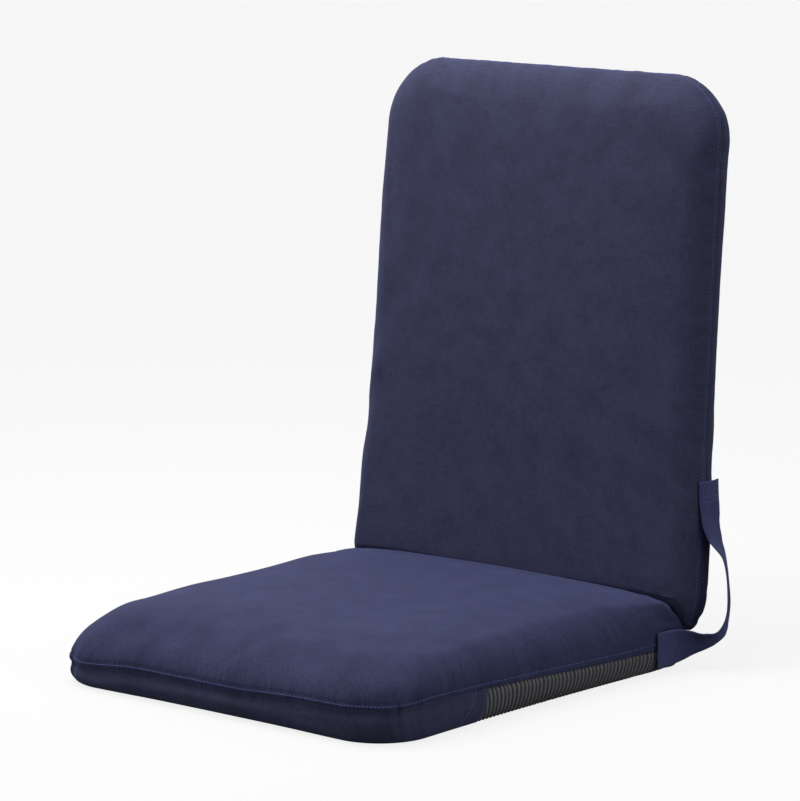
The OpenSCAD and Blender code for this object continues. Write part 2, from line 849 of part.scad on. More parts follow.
// A rivet across a hinge: a shank and two heads, turned about its own axis.
module rivet(side, at, d, grip, head) {
    in_hinge(side, 0)
    translate([at[0], at[1], 0])
    rotate_extrude($fn = pivot_fn)
    polygon([
        [0, -grip / 2 - head_t], [head * 0.7, -grip / 2 - head_t], [head, -grip / 2 - head_t / 2],
        [head, -grip / 2], [d / 2, -grip / 2], [d / 2, grip / 2], [head, grip / 2],
        [head, grip / 2 + head_t / 2], [head * 0.7, grip / 2 + head_t], [0, grip / 2 + head_t]
    ]);
}

plates_grip = plate_gap + 2 * plate_t;

module pivot_rivet(side) {
    color(zinc)
    rivet(side, [0, 0], pivot_d, plates_grip, head_r);
}

module pawl_rivet(side) {
    color(zinc)
    rivet(side, pawl_pivot, rivet_d, plates_grip, rivet_d * 0.8);
}

module stop_rivets(side) {
    color(zinc) {
        rivet(side, shut_stop, rivet_d, plates_grip, rivet_d * 0.8);
        rivet(side, flat_stop, rivet_d, plates_grip, rivet_d * 0.8);
    }
}

module tongue_rivets(side) {
    color(zinc)
    for (y = tongue_rivet_ys)
        rivet(side, [y - tongue_from_axis, tongue_y], rivet_d, plates_grip, rivet_d * 0.8);
}

module arm_rivets(side) {
    color(zinc)
    for (h = arm_rivet_hs)
        let (p = spin([back_plane, h], -rest_tilt))
        rivet(side, p, rivet_d, tube_d, rivet_d * 0.8);
}

// Two thin washers hold the arm off the plates.
module pivot_washers(side) {
    washer_t = (plate_gap - arm_t) / 2;
    color(zinc)
    for (x = [-plate_gap / 2, arm_t / 2])
        in_hinge(side, x)
        linear_extrude(washer_t)
        difference() {
            circle(r = eye_r, $fn = pivot_fn);
            circle(d = pivot_d + 2 * rivet_fit, $fn = pivot_fn);
        }
}

// The ratchet arm: a toothed sector round the axis, and a tail that plugs into
// the back tube. One notch for each position, from the one shown to flat.
notch_step = flat_travel / (notch_count - 1);
sector_first = 270 + rest_tilt - notch_step / 2;
sector_last = 270 + rest_tilt + flat_travel + notch_step / 2;

module ratchet_solid() {
    root = ratchet_r - notch_depth;
    tail_w = tube_d - 2 * tube_wall - 2 * run_gap;
    tail_in = back_plane - tail_w / 2;
    tail_out = back_plane + tail_w / 2;
    tail_top = arm_rivet_hs[1] + 2 * rivet_d;
    difference() {
        union() {
            linear_extrude(arm_t) circle(r = eye_r, $fn = pivot_fn);
            intersection() {
                linear_extrude(arm_t) circle(r = ratchet_r, $fn = 2 * pivot_fn);
                linear_extrude(arm_t)
                polygon(concat(
                    [[0, 0]],
                    [for (i = [0:4])
                        let (a = sector_first + (sector_last - sector_first) * i / 4)
                        2 * ratchet_r * [cos(a), sin(a)]]
                ));
            }
            linear_extrude(arm_t)
            polygon([
                [-arm_front, 0], [-arm_front, ratchet_r + 1.3 * rivet_d],
                [tail_in, back_tube_start], [tail_in, tail_top], [tail_out, tail_top],
                [tail_out, back_tube_start - run_gap], [arm_rear, ratchet_r + 1.5 * rivet_d],
                [arm_rear, 0]
            ]);
        }
        translate([0, 0, -cut_over])
        cylinder(d = pivot_d + 2 * rivet_fit, h = arm_t + 2 * cut_over, $fn = pivot_fn);
        for (k = [0:notch_count - 1])
            rotate(rest_tilt + k * notch_step)
            translate([0, 0, -cut_over])
            linear_extrude(arm_t + 2 * cut_over)
            polygon([
                [-notch_depth * 0.52, -root], [notch_depth * 0.52, -root],
                [notch_depth * 0.66, -ratchet_r - cut_over], [-notch_depth * 0.66, -ratchet_r - cut_over]
            ]);
        for (h = arm_rivet_hs)
            translate([back_plane, h, -cut_over])
            cylinder(d = rivet_d + 2 * rivet_fit, h = arm_t + 2 * cut_over, $fn = pivot_fn);
    }
}

module ratchet_arm(side) {
    color(zinc)
    back_frame()
    translate([side * hinge_x - arm_t / 2, 0, 0])
    rotate([90, 0, 90])
    ratchet_solid();
}

// The pawl, drawn engaged and then swung down about its rivet.
module pawl_solid(t) {
    nose_r = notch_depth * 0.43;
    lever_top = pawl_drop - ratchet_r - 0.7 * rivet_d;
    lever_base = pawl_drop - ratchet_r - 1.8 * rivet_d;
    difference() {
        union() {
            linear_extrude(t) circle(r = rivet_d, $fn = pivot_fn);
            linear_extrude(t)
            polygon([
                [0, rivet_d * 0.9], [pawl_reach - nose_r * 2.5, lever_top],
                [pawl_reach - nose_r, lever_top],
                [pawl_reach - nose_r * 0.9, pawl_drop - ratchet_r + notch_depth - run_gap],
                [pawl_reach + nose_r * 0.9, pawl_drop - ratchet_r + notch_depth - run_gap],
                [pawl_reach + nose_r, lever_top], [pawl_reach + 2 * nose_r, lever_top],
                [pawl_reach + 2 * nose_r, lever_base], [rivet_d * 0.3, -rivet_d * 0.95]
            ]);
        }
        translate([0, 0, -cut_over])
        cylinder(d = rivet_d + 2 * rivet_fit, h = t + 2 * cut_over, $fn = pivot_fn);
    }
}

module pawl(side) {
    pawl_t = plate_gap - 2 * run_gap;
    color(zinc)
    in_hinge(side, -pawl_t / 2)
    translate(pawl_pivot)
    rotate(-pawl_lift)
    pawl_solid(pawl_t);
}

// A leaf spring round the rear stop rivet, which presses the pawl up.
module pawl_spring(side) {
    leaf = run_gap * 2;
    heel = pawl_pivot + spin([pawl_reach, pawl_drop - ratchet_r - 1.8 * rivet_d], -pawl_lift);
    hook = rivet_d / 2 + run_gap;
    path = [
        flat_stop + [hook, 0], flat_stop + [hook * 0.8, -hook * 0.7], flat_stop + [0, -hook],
        [(flat_stop[0] + heel[0]) / 2, heel[1] - leaf], heel + [0, -2 * leaf],
        heel + [-rivet_d, -2 * leaf]
    ];
    outer = [
        path[0] + [leaf, 0], path[1] + [leaf * 0.8, -leaf * 0.7], path[2] + [leaf / 4, -leaf],
        path[3] + [leaf / 4, -leaf], path[4] + [0, -leaf], path[5] + [0, -leaf]
    ];
    color(zinc)
    in_hinge(side, -arm_t / 2)
    linear_extrude(arm_t)
    polygon(concat(path, reversed(outer)));
}

seat_cover_top();
seat_cover_band();
seat_side_mesh();
seat_underside_panel();
seat_foam_upper();
seat_foam_lower();
seat_frame_tube();
seat_cross_tube();
hinge_plate(1, 1);  // hinge_outer_plate_left
hinge_plate(-1, -1);  // hinge_outer_plate_right
hinge_plate(1, -1);  // hinge_inner_plate_left
hinge_plate(-1, 1);  // hinge_inner_plate_right
pivot_rivet(1);  // pivot_rivet_left
pivot_rivet(-1);  // pivot_rivet_right
pivot_washers(1);  // pivot_washers_left
pivot_washers(-1);  // pivot_washers_right
pawl_rivet(1);  // pawl_rivet_left
pawl_rivet(-1);  // pawl_rivet_right
stop_rivets(1);  // stop_rivets_left
stop_rivets(-1);  // stop_rivets_right
tongue_rivets(1);  // tongue_rivets_left
tongue_rivets(-1);  // tongue_rivets_right
pawl_spring(1);  // pawl_spring_left
pawl_spring(-1);  // pawl_spring_right
hinge_gusset();
carry_strap();
back_cover_front();
back_cover_rear();
back_foam_front();
back_foam_rear();
back_frame_tube();
back_cross_tube();
ratchet_arm(1);  // ratchet_arm_left
ratchet_arm(-1);  // ratchet_arm_right
arm_rivets(1);  // arm_rivets_left
arm_rivets(-1);  // arm_rivets_right
pawl(1);  // pawl_left
pawl(-1);  // pawl_right
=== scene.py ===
"""Looks of the folding floor chair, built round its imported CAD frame.

Lengths are in millimetres while a mesh is built, in the part's own frame: the
seat lies on the floor, the sitter looks along -Y and the sitter's left is +X.
Each finished mesh is scaled to metres.
"""

import logging
import math
from collections.abc import Callable, Iterable
from dataclasses import dataclass, field
from enum import Enum

import bmesh
import bpy
import numpy as np
from mathutils import Matrix, Vector, noise
from mathutils.bvhtree import BVHTree
from mathutils.kdtree import KDTree


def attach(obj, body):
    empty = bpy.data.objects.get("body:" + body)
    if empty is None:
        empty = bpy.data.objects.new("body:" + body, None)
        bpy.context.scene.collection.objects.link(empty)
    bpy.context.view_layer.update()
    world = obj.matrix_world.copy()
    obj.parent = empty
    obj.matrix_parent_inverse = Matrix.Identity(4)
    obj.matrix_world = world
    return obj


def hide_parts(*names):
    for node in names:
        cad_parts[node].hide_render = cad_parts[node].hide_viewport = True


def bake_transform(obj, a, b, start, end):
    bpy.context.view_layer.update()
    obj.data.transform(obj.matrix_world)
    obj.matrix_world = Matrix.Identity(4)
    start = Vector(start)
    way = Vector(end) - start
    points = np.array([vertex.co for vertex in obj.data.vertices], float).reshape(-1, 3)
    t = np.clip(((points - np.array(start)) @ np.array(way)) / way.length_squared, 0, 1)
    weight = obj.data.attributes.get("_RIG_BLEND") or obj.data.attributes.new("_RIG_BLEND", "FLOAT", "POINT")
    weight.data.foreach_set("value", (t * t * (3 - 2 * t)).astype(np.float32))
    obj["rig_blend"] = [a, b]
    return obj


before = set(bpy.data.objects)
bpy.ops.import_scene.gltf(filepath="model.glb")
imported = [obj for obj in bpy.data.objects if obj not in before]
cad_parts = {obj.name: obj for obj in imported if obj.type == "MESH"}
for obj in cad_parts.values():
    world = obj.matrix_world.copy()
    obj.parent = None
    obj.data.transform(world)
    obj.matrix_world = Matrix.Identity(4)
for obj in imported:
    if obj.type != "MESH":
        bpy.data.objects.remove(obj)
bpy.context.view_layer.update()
LOG = logging.getLogger("floor_chair")

MM = 0.001
TINY = 1e-6
COVER = 1.2      # thickness of the covers' cloth, in millimetres
FLOOR_GAP = 0.2  # how far the lowest cloth stays over the floor, in millimetres
CROWN_START = 0.35  # share of a cushion's round edge beyond which its crown rises

Mesh = bmesh.types.BMesh
Piece = bpy.types.Object
Tree = bpy.types.NodeTree
Node = bpy.types.Node
Pair = tuple[float, float]
Triple = tuple[float, float, float]
Line = list[tuple[Vector, Vector]]


class Slot(Enum):
    """Names of the material slots."""

    NAVY = "navy_cloth"
    STRAP = "strap_cloth"
    MESH = "ribbed_mesh"
    BASE = "base_cloth"
    FOAM = "foam"
    TUBE = "painted_tube"
    ZINC = "zinc_steel"


class Panel(Enum):
    """Cloth panels that a cushion's cover is sewn from."""

    TOP = 1
    BAND = 2
    SIDES = 3
    UNDERSIDE = 4


# ---- Materials ----


def linear(hex_colour: str) -> tuple[float, float, float, float]:
    """Turns an sRGB hex colour to linear values with alpha.

    Args:
        hex_colour: six hex digits.

    Returns:
        Red, green, blue and alpha, linear.
    """
    parts = [int(hex_colour[i:i + 2], 16) / 255 for i in (0, 2, 4)]
    return (*[c / 12.92 if c <= 0.04045 else ((c + 0.055) / 1.055) ** 2.4 for c in parts], 1.0)


def per(size_mm: float) -> float:
    """Scale of a pattern whose cells have this size."""
    return 1 / (size_mm * MM)


def feed(node: Node, inputs: dict) -> None:
    """Sets a node's inputs.

    Args:
        node: the node.
        inputs: socket name or number to a value, or to an output socket to link.
    """
    for name, value in inputs.items():
        if isinstance(value, bpy.types.NodeSocket):
            node.id_data.links.new(value, node.inputs[name])
        else:
            node.inputs[name].default_value = value


def add_node(
    tree: Tree, kind: str, inputs: dict, stops: tuple[tuple[float, str], ...] = (), **settings,
) -> Node:
    """Adds a node with its settings, its inputs and, to a colour ramp, its stops.

    Args:
        tree: node tree that gets the node.
        kind: Blender's type name of the node.
        inputs: socket name or number to a value, or to an output socket to link.
        stops: positions and hex colours of a colour ramp.
        settings: properties of the node.

    Returns:
        The new node.
    """
    node = tree.nodes.new(kind)
    for name, value in settings.items():
        setattr(node, name, value)
    feed(node, inputs)
    if stops:
        elements = node.color_ramp.elements
        while len(elements) < len(stops):
            elements.new(0.5)
        for element, (at, colour) in zip(elements, stops):
            element.position = at
            element.color = linear(colour)
    return node


@dataclass(frozen=True)
class Finish:
    """A finish: its name and the colour that a viewport shows."""

    name: str
    shown: str

    def fill(self, tree: Tree, shader: Node) -> None:
        """Adds the finish's nodes; each finish has its own.

        Args:
            tree: the material's node tree.
            shader: its Principled BSDF.
        """
        raise NotImplementedError

    def material(self) -> bpy.types.Material:
        """Makes the material, or returns the one made before.

        Returns:
            The material.
        """
        made = bpy.data.materials.get(self.name)
        if made:
            return made
        made = bpy.data.materials.new(self.name)
        made.use_nodes = True
        made.diffuse_color = linear(self.shown)
        self.fill(made.node_tree, made.node_tree.nodes["Principled BSDF"])
        return made


@dataclass(frozen=True)
class PeachedCanvas(Finish):
    """Cotton and polyester canvas, dyed navy and brushed to a peach finish.

    The brushing gives a soft bloom where the cloth turns away, and a clouded,
    slightly heathered colour; no gloss. The threads are 0.45 mm apart, too fine
    for the picture, and are drawn at 1.1 mm, each as an uneven slub.
    """

    dark: str = "2F3048"
    light: str = "404260"
    bloom: str = "858DCC"
    thread_mm: float = 1.1
    slub: float = 11.0
    cloud_mm: float = 34.0
    woven_share: float = 0.55
    bump: float = 0.35
    thread_height_mm: float = 0.6

    def fill(self, tree: Tree, shader: Node) -> None:
        """Colour from clouds and from slubs of the crossing threads, which give the bump too.

        Args:
            tree: the material's node tree.
            shader: its Principled BSDF.
        """
        cloth = add_node(tree, "ShaderNodeUVMap", {}, uv_map="cloth").outputs["UV"]
        fine = per(self.thread_mm)
        threads = []
        for run in ((fine / self.slub, fine, 1.0), (fine, fine / self.slub, 1.0)):
            along = add_node(tree, "ShaderNodeMapping", {"Vector": cloth, "Scale": run})
            slubs = {"Vector": along.outputs["Vector"], "Scale": 1.0, "Detail": 1.0}
            threads.append(add_node(tree, "ShaderNodeTexNoise", slubs).outputs["Fac"])
        woven = add_node(
            tree, "ShaderNodeMix", {0: 0.5, 2: threads[0], 3: threads[1]}, data_type="FLOAT",
        ).outputs[0]
        clouds = add_node(tree, "ShaderNodeTexNoise", {
            "Vector": cloth, "Scale": per(self.cloud_mm), "Detail": 5.0, "Roughness": 0.62,
        }).outputs["Fac"]
        both = add_node(
            tree, "ShaderNodeMix", {0: self.woven_share, 2: clouds, 3: woven}, data_type="FLOAT",
        ).outputs[0]
        dyed = add_node(
            tree, "ShaderNodeValToRGB", {"Fac": both}, ((0.36, self.dark), (0.64, self.light)),
        )
        relief = add_node(tree, "ShaderNodeBump", {
            "Height": woven, "Strength": self.bump, "Distance": self.thread_height_mm * MM,
        })
        feed(shader, {
            "Base Color": dyed.outputs["Color"], "Normal": relief.outputs["Normal"],
            "Roughness": 0.86, "Specular IOR Level": 0.25,
            "Sheen Weight": 0.3, "Sheen Roughness": 0.45, "Sheen Tint": linear(self.bloom),
        })


@dataclass(frozen=True)
class KnitMesh(Finish):
    """Polyester spacer mesh, knitted in cords: dark, dull, with small open cells.

    The cells are 1 mm apart and are drawn at 1.6 mm.
    """

    cell_mm: float = 1.6
    cord_mm: float = 5.6
    thread_height_mm: float = 0.6

    def fill(self, tree: Tree, shader: Node) -> None:
        """Open cells between lighter threads, on cords whose grooves are coloured darker as painted shade.

        Args:
            tree: the material's node tree.
            shader: its Principled BSDF.
        """
        cloth = add_node(tree, "ShaderNodeUVMap", {}, uv_map="cord").outputs["UV"]
        cells = add_node(tree, "ShaderNodeTexVoronoi", {
            "Vector": cloth, "Scale": per(self.cell_mm), "Randomness": 0.35,
        }, feature="F1").outputs["Distance"]
        # At scale 1 a Wave texture repeats every pi / 10 metres.
        bands = math.pi / 10 / (self.cord_mm * MM)
        # The cords' bands darken the grooves between the cords: painted shade in the grooves.
        cords = add_node(tree, "ShaderNodeTexWave", {
            "Vector": cloth, "Scale": bands, "Phase Offset": math.pi,
        }, bands_direction="X").outputs["Fac"]
        both = add_node(
            tree, "ShaderNodeMix", {0: 0.42, 2: cords, 3: cells}, data_type="FLOAT",
        ).outputs[0]
        tone = add_node(
            tree, "ShaderNodeValToRGB", {"Fac": both},
            ((0.08, "1E1E20"), (0.45, "4E4E52"), (0.85, "7A7A80")),
        )
        relief = add_node(tree, "ShaderNodeBump", {
            "Height": cells, "Strength": 0.5, "Distance": self.thread_height_mm * MM,
        })
        feed(shader, {
            "Base Color": tone.outputs["Color"], "Normal": relief.outputs["Normal"],
            "Roughness": 0.8, "Specular IOR Level": 0.3,
        })


@dataclass(frozen=True)
class BaseCloth(Finish):
    """Plain coated polyester of the underside, near black, with a faint dull shine.

    The threads are 0.5 mm apart and are drawn at 1.4 mm.
    """

    thread_mm: float = 1.4
    cloud_mm: float = 33.33
    thread_height_mm: float = 0.4

    def fill(self, tree: Tree, shader: Node) -> None:
        """A plain weave, a little uneven in tone.

        Args:
            tree: the material's node tree.
            shader: its Principled BSDF.
        """
        cloth = add_node(tree, "ShaderNodeUVMap", {}, uv_map="cloth").outputs["UV"]
        weave = add_node(
            tree, "ShaderNodeTexChecker", {"Vector": cloth, "Scale": per(self.thread_mm)},
        )
        cloud = add_node(tree, "ShaderNodeTexNoise", {
            "Vector": cloth, "Scale": per(self.cloud_mm), "Detail": 4.0,
        })
        tone = add_node(
            tree, "ShaderNodeValToRGB", {"Fac": cloud.outputs["Fac"]},
            ((0.3, "242428"), (0.7, "323236")),
        )
        relief = add_node(tree, "ShaderNodeBump", {
            "Height": weave.outputs["Fac"], "Strength": 0.25,
            "Distance": self.thread_height_mm * MM,
        })
        feed(shader, {
            "Base Color": tone.outputs["Color"], "Normal": relief.outputs["Normal"],
            "Roughness": 0.6,
        })


@dataclass(frozen=True)
class SewingThread(Finish):
    """Spun polyester sewing thread: a lighter blue than the cloth, with a soft shine.

    The turns of its twist are 0.5 mm apart and are drawn at 1.1 mm.
    """

    light: str = "646EB4"
    dark: str = "485296"
    twist_mm: float = 1.111

    def fill(self, tree: Tree, shader: Node) -> None:
        """Lighter and darker turns of the twist along the stitch.

        Args:
            tree: the material's node tree.
            shader: its Principled BSDF.
        """
        place = add_node(tree, "ShaderNodeTexCoord", {}).outputs["Object"]
        twist = add_node(tree, "ShaderNodeTexNoise", {
            "Vector": place, "Scale": per(self.twist_mm), "Detail": 2.0,
        })
        tone = add_node(
            tree, "ShaderNodeValToRGB", {"Fac": twist.outputs["Fac"]},
            ((0.3, self.dark), (0.7, self.light)),
        )
        feed(shader, {"Base Color": tone.outputs["Color"], "Roughness": 0.55})


@dataclass(frozen=True)
class FoamFinish(Finish):
    """Cut polyurethane foam: cream, dull, with open cells under 1 mm, drawn at 2 mm."""

    cell_mm: float = 2.0
    stain_mm: float = 71.43
    cell_depth_mm: float = 0.8

    def fill(self, tree: Tree, shader: Node) -> None:
        """Small pits, and a slight yellowing.

        Args:
            tree: the material's node tree.
            shader: its Principled BSDF.
        """
        place = add_node(tree, "ShaderNodeTexCoord", {}).outputs["Object"]
        pits = add_node(
            tree, "ShaderNodeTexVoronoi", {"Vector": place, "Scale": per(self.cell_mm)},
        )
        stain = add_node(tree, "ShaderNodeTexNoise", {
            "Vector": place, "Scale": per(self.stain_mm), "Detail": 3.0,
        })
        tone = add_node(
            tree, "ShaderNodeValToRGB", {"Fac": stain.outputs["Fac"]},
            ((0.3, "E3D7B0"), (0.7, "EFE6C8")),
        )
        relief = add_node(tree, "ShaderNodeBump", {
            "Height": pits.outputs["Distance"], "Strength": 0.6,
            "Distance": self.cell_depth_mm * MM,
        })
        feed(shader, {
            "Base Color": tone.outputs["Color"], "Normal": relief.outputs["Normal"],
            "Roughness": 0.95,
        })


@dataclass(frozen=True)
class PaintedSteel(Finish):
    """Steel tube under black powder coat: half dull, with an orange peel 1.5 mm across."""

    peel_mm: float = 1.515
    rub_mm: float = 25.0
    peel_height_mm: float = 0.3

    def fill(self, tree: Tree, shader: Node) -> None:
        """Orange peel in the bump, and thin wear in the shine.

        Args:
            tree: the material's node tree.
            shader: its Principled BSDF.
        """
        place = add_node(tree, "ShaderNodeTexCoord", {}).outputs["Object"]
        peel = add_node(tree, "ShaderNodeTexNoise", {
            "Vector": place, "Scale": per(self.peel_mm), "Detail": 2.0,
        })
        rub = add_node(tree, "ShaderNodeTexNoise", {
            "Vector": place, "Scale": per(self.rub_mm), "Detail": 5.0,
        }).outputs["Fac"]
        shine = add_node(tree, "ShaderNodeMapRange", {"Value": rub, "To Min": 0.32, "To Max": 0.5})
        relief = add_node(tree, "ShaderNodeBump", {
            "Height": peel.outputs["Fac"], "Strength": 0.15, "Distance": self.peel_height_mm * MM,
        })
        tone = add_node(
            tree, "ShaderNodeValToRGB", {"Fac": rub}, ((0.3, "1B1B1D"), (0.8, "242427")),
        )
        feed(shader, {
            "Base Color": tone.outputs["Color"], "Normal": relief.outputs["Normal"],
            "Roughness": shine.outputs["Result"],
        })


@dataclass(frozen=True)
class ZincSteel(Finish):
    """Stamped steel, zinc plated: a pale grey metal with a clouded spangle 3 mm across."""

    spangle_mm: float = 3.03

    def fill(self, tree: Tree, shader: Node) -> None:
        """Spangle in tone and in the shine.

        Args:
            tree: the material's node tree.
            shader: its Principled BSDF.
        """
        place = add_node(tree, "ShaderNodeTexCoord", {}).outputs["Object"]
        spangle = add_node(
            tree, "ShaderNodeTexVoronoi", {"Vector": place, "Scale": per(self.spangle_mm)},
        )
        tone = add_node(
            tree, "ShaderNodeValToRGB", {"Fac": spangle.outputs["Color"]},
            ((0.0, "9A9DA0"), (1.0, "B9BCBE")),
        )
        shine = add_node(tree, "ShaderNodeMapRange", {
            "Value": spangle.outputs["Distance"], "To Min": 0.28, "To Max": 0.42,
        })
        feed(shader, {
            "Base Color": tone.outputs["Color"], "Roughness": shine.outputs["Result"],
            "Metallic": 1.0,
        })


NAVY = PeachedCanvas("peached_navy_canvas", "3C3C5A")
# The seat is looked at along its cloth, so its threads are drawn coarser still to be seen. Its colours are
# darker and bluer than the other copies of the same cloth; the bluer tint is a painted reflection of bluish
# light on the seat's top.
SEAT_NAVY_REFLECTION_TINT = PeachedCanvas(
    "peached_navy_canvas_seat_reflection_tint", "3C3C5A",
    dark="232642", light="3A3E60", thread_mm=1.3, slub=2.0, bump=0.8,
)
STRAP_CLOTH = PeachedCanvas(
    "navy_canvas_strap", "3E4268", dark="383C64", light="4E527C", bump=0.45,
)
RIBBED = KnitMesh("ribbed_polyester_mesh", "3E3C3E")
UNDERSIDE = BaseCloth("coated_polyester_base", "2A2A2E")
THREAD = SewingThread("polyester_thread", "4A54A8")
FOAM = FoamFinish("polyurethane_foam", "E8DEBC")
PAINT = PaintedSteel("powder_coated_steel", "1E1E20")
ZINC = ZincSteel("zinc_plated_steel", "AAACAE")


# ---- Meshes ----


def finished(name: str, bm: Mesh, finish: Finish) -> Piece:
    """Scales a mesh from millimetres to metres and makes its object.

    Args:
        name: name of the piece.
        bm: mesh in millimetres, freed here.
        finish: its finish.

    Returns:
        The object, at the origin, shaded smooth.
    """
    bmesh.ops.scale(bm, vec=(MM, MM, MM), verts=bm.verts)
    mesh = bpy.data.meshes.new(name)
    for face in bm.faces:
        face.smooth = True
    bm.to_mesh(mesh)
    bm.free()
    made = bpy.data.objects.new(name, mesh)
    bpy.context.scene.collection.objects.link(made)
    made.data.materials.append(finish.material())
    return made


def bake(piece: Piece) -> None:
    """Applies the piece's modifiers to its mesh.

    Args:
        piece: the piece, changed in place.
    """
    ready = piece.evaluated_get(bpy.context.evaluated_depsgraph_get())
    ready = bpy.data.meshes.new_from_object(ready)
    piece.modifiers.clear()
    piece.data = ready


def thicken(piece: Piece, thickness: float, levels: int, offset: int = -1) -> None:
    """Gives cloth its thickness, and smooths it.

    Args:
        piece: the cloth.
        thickness: in millimetres.
        levels: steps of subdivision.
        offset: -1 for a thickness inwards, 0 for one on both sides.
    """
    wall = piece.modifiers.new("cloth", "SOLIDIFY")
    wall.thickness = thickness * MM
    wall.offset = offset
    if offset:
        wall.edge_crease_outer = wall.edge_crease_inner = 1.0
    if levels:
        soft = piece.modifiers.new("soft", "SUBSURF")
        soft.levels = soft.render_levels = levels
    bake(piece)
    for vert in piece.data.vertices:
        vert.co.z = max(vert.co.z, FLOOR_GAP * MM)


def panel_piece(
    name: str, bm: Mesh, finish: Finish, node: str,
    thickness: float = COVER, levels: int = 0,
) -> Piece:
    """Makes a panel of cloth that stands for a CAD node.

    Args:
        name: name of the piece.
        bm: mesh of its outer side, freed here.
        finish: its finish.
        node: CAD node that it replaces.
        thickness: of the cloth.
        levels: steps of subdivision.

    Returns:
        The piece.
    """
    piece = finished(name, bm, finish)
    thicken(piece, thickness, levels)
    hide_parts(node)
    return piece


def lay_flat(
    faces: Iterable[bmesh.types.BMFace], layer: bmesh.types.BMLayerItem,
    flat: Callable[[bmesh.types.BMVert], Vector],
) -> None:
    """Writes where faces lie on the flat cloth.

    Args:
        faces: the faces.
        layer: UV layer that gets it, in metres.
        flat: gives a vertex's place on the cloth, in millimetres.
    """
    for face in faces:
        for loop in face.loops:
            loop[layer].uv = flat(loop.vert) * MM


def cloth_grid(columns: int, rows: int, half_width: float, half_length: float) -> Mesh:
    """Makes a flat strip of cloth from -1 to 1, which remembers its real size.

    Args:
        columns: cells across.
        rows: cells along.
        half_width: half its width.
        half_length: half its length.

    Returns:
        The grid.
    """
    bm = bmesh.new()
    cloth = bm.loops.layers.uv.new("cloth")
    bmesh.ops.create_grid(bm, x_segments=columns, y_segments=rows, size=1.0)
    size = Vector((half_width, half_length))
    lay_flat(bm.faces, cloth, lambda vert: vert.co.xy * size)
    return bm


def ease(value: float) -> float:
    """Smooth step from 0 to 1."""
    value = min(1.0, max(0.0, value))
    return value * value * (3 - 2 * value)


def between(value: float, ends: Pair) -> float:
    """Smooth step from 0 at the first end to 1 at the second, which may be the lower one."""
    return ease((value - ends[0]) / (ends[1] - ends[0]))


def bump(gap: float, height: float, width: float) -> float:
    """Height of a round bump at a distance from its middle."""
    return height * math.exp(-(gap / width) ** 2)


def soft_min(a: float, b: float, soft: float) -> float:
    """The lesser of two numbers, rounded over a distance."""
    share = max(0.0, soft - abs(a - b)) / soft
    return min(a, b) - share * share * soft / 4


def edge_pairs(bm: Mesh) -> np.ndarray:
    """The numbers of the two vertices of each edge."""
    bm.verts.index_update()
    return np.array([[v.index for v in edge.verts] for edge in bm.edges])


def spread_out(values: np.ndarray, pairs: np.ndarray, rounds: int) -> np.ndarray:
    """Evens out a value over a mesh.

    Args:
        values: one row for each vertex.
        pairs: the two vertices of each edge.
        rounds: how often each vertex takes half of its neighbours' mean.

    Returns:
        The evened values.
    """
    links = np.bincount(pairs.ravel(), minlength=len(values))[:, None]
    for _ in range(rounds):
        near = np.zeros_like(values)
        np.add.at(near, pairs[:, 0], values[pairs[:, 1]])
        np.add.at(near, pairs[:, 1], values[pairs[:, 0]])
        values = (values + near / links) / 2
    return values


def rolled(inset: float, roll: float, shoulder: float, top: float, reach: float) -> float:
    """Rise of a stuffed cover above its seam: a round edge, then a low crown.

    Args:
        inset: distance in from the rim.
        roll: how far in the round edge reaches.
        shoulder: rise at the end of the round edge.
        top: rise of the crown.
        reach: how far in the crown is at its full height.

    Returns:
        The rise.
    """
    edge = min(1.0, inset / roll)
    rise = shoulder * math.sqrt(max(0.0, 1 - (1 - edge) ** 2))
    crown = min(1.0, max(0.0, inset - roll * CROWN_START) / reach)
    return rise + (top - shoulder) * (1 - (1 - crown) ** 2) * ease(edge)


def smooth_line(points: tuple, t: float) -> Vector:
    """Point on the smooth curve through some points.

    Args:
        points: tuples of numbers.
        t: from 0 at the first point to 1 at the last.

    Returns:
        The point.
    """
    last = len(points) - 1
    spot = min(max(t, 0.0), 1.0) * last
    i = min(int(spot), last - 1)
    f = spot - i
    p0, p1, p2, p3 = (Vector(points[min(max(k, 0), last)]) for k in (i - 1, i, i + 1, i + 2))
    bent = (2 * p0 - 5 * p1 + 4 * p2 - p3) * f * f + (3 * p1 - p0 - 3 * p2 + p3) * f ** 3
    return 0.5 * ((2 * p1) + (p2 - p0) * f + bent)


# ---- How a cushion's cover is made ----


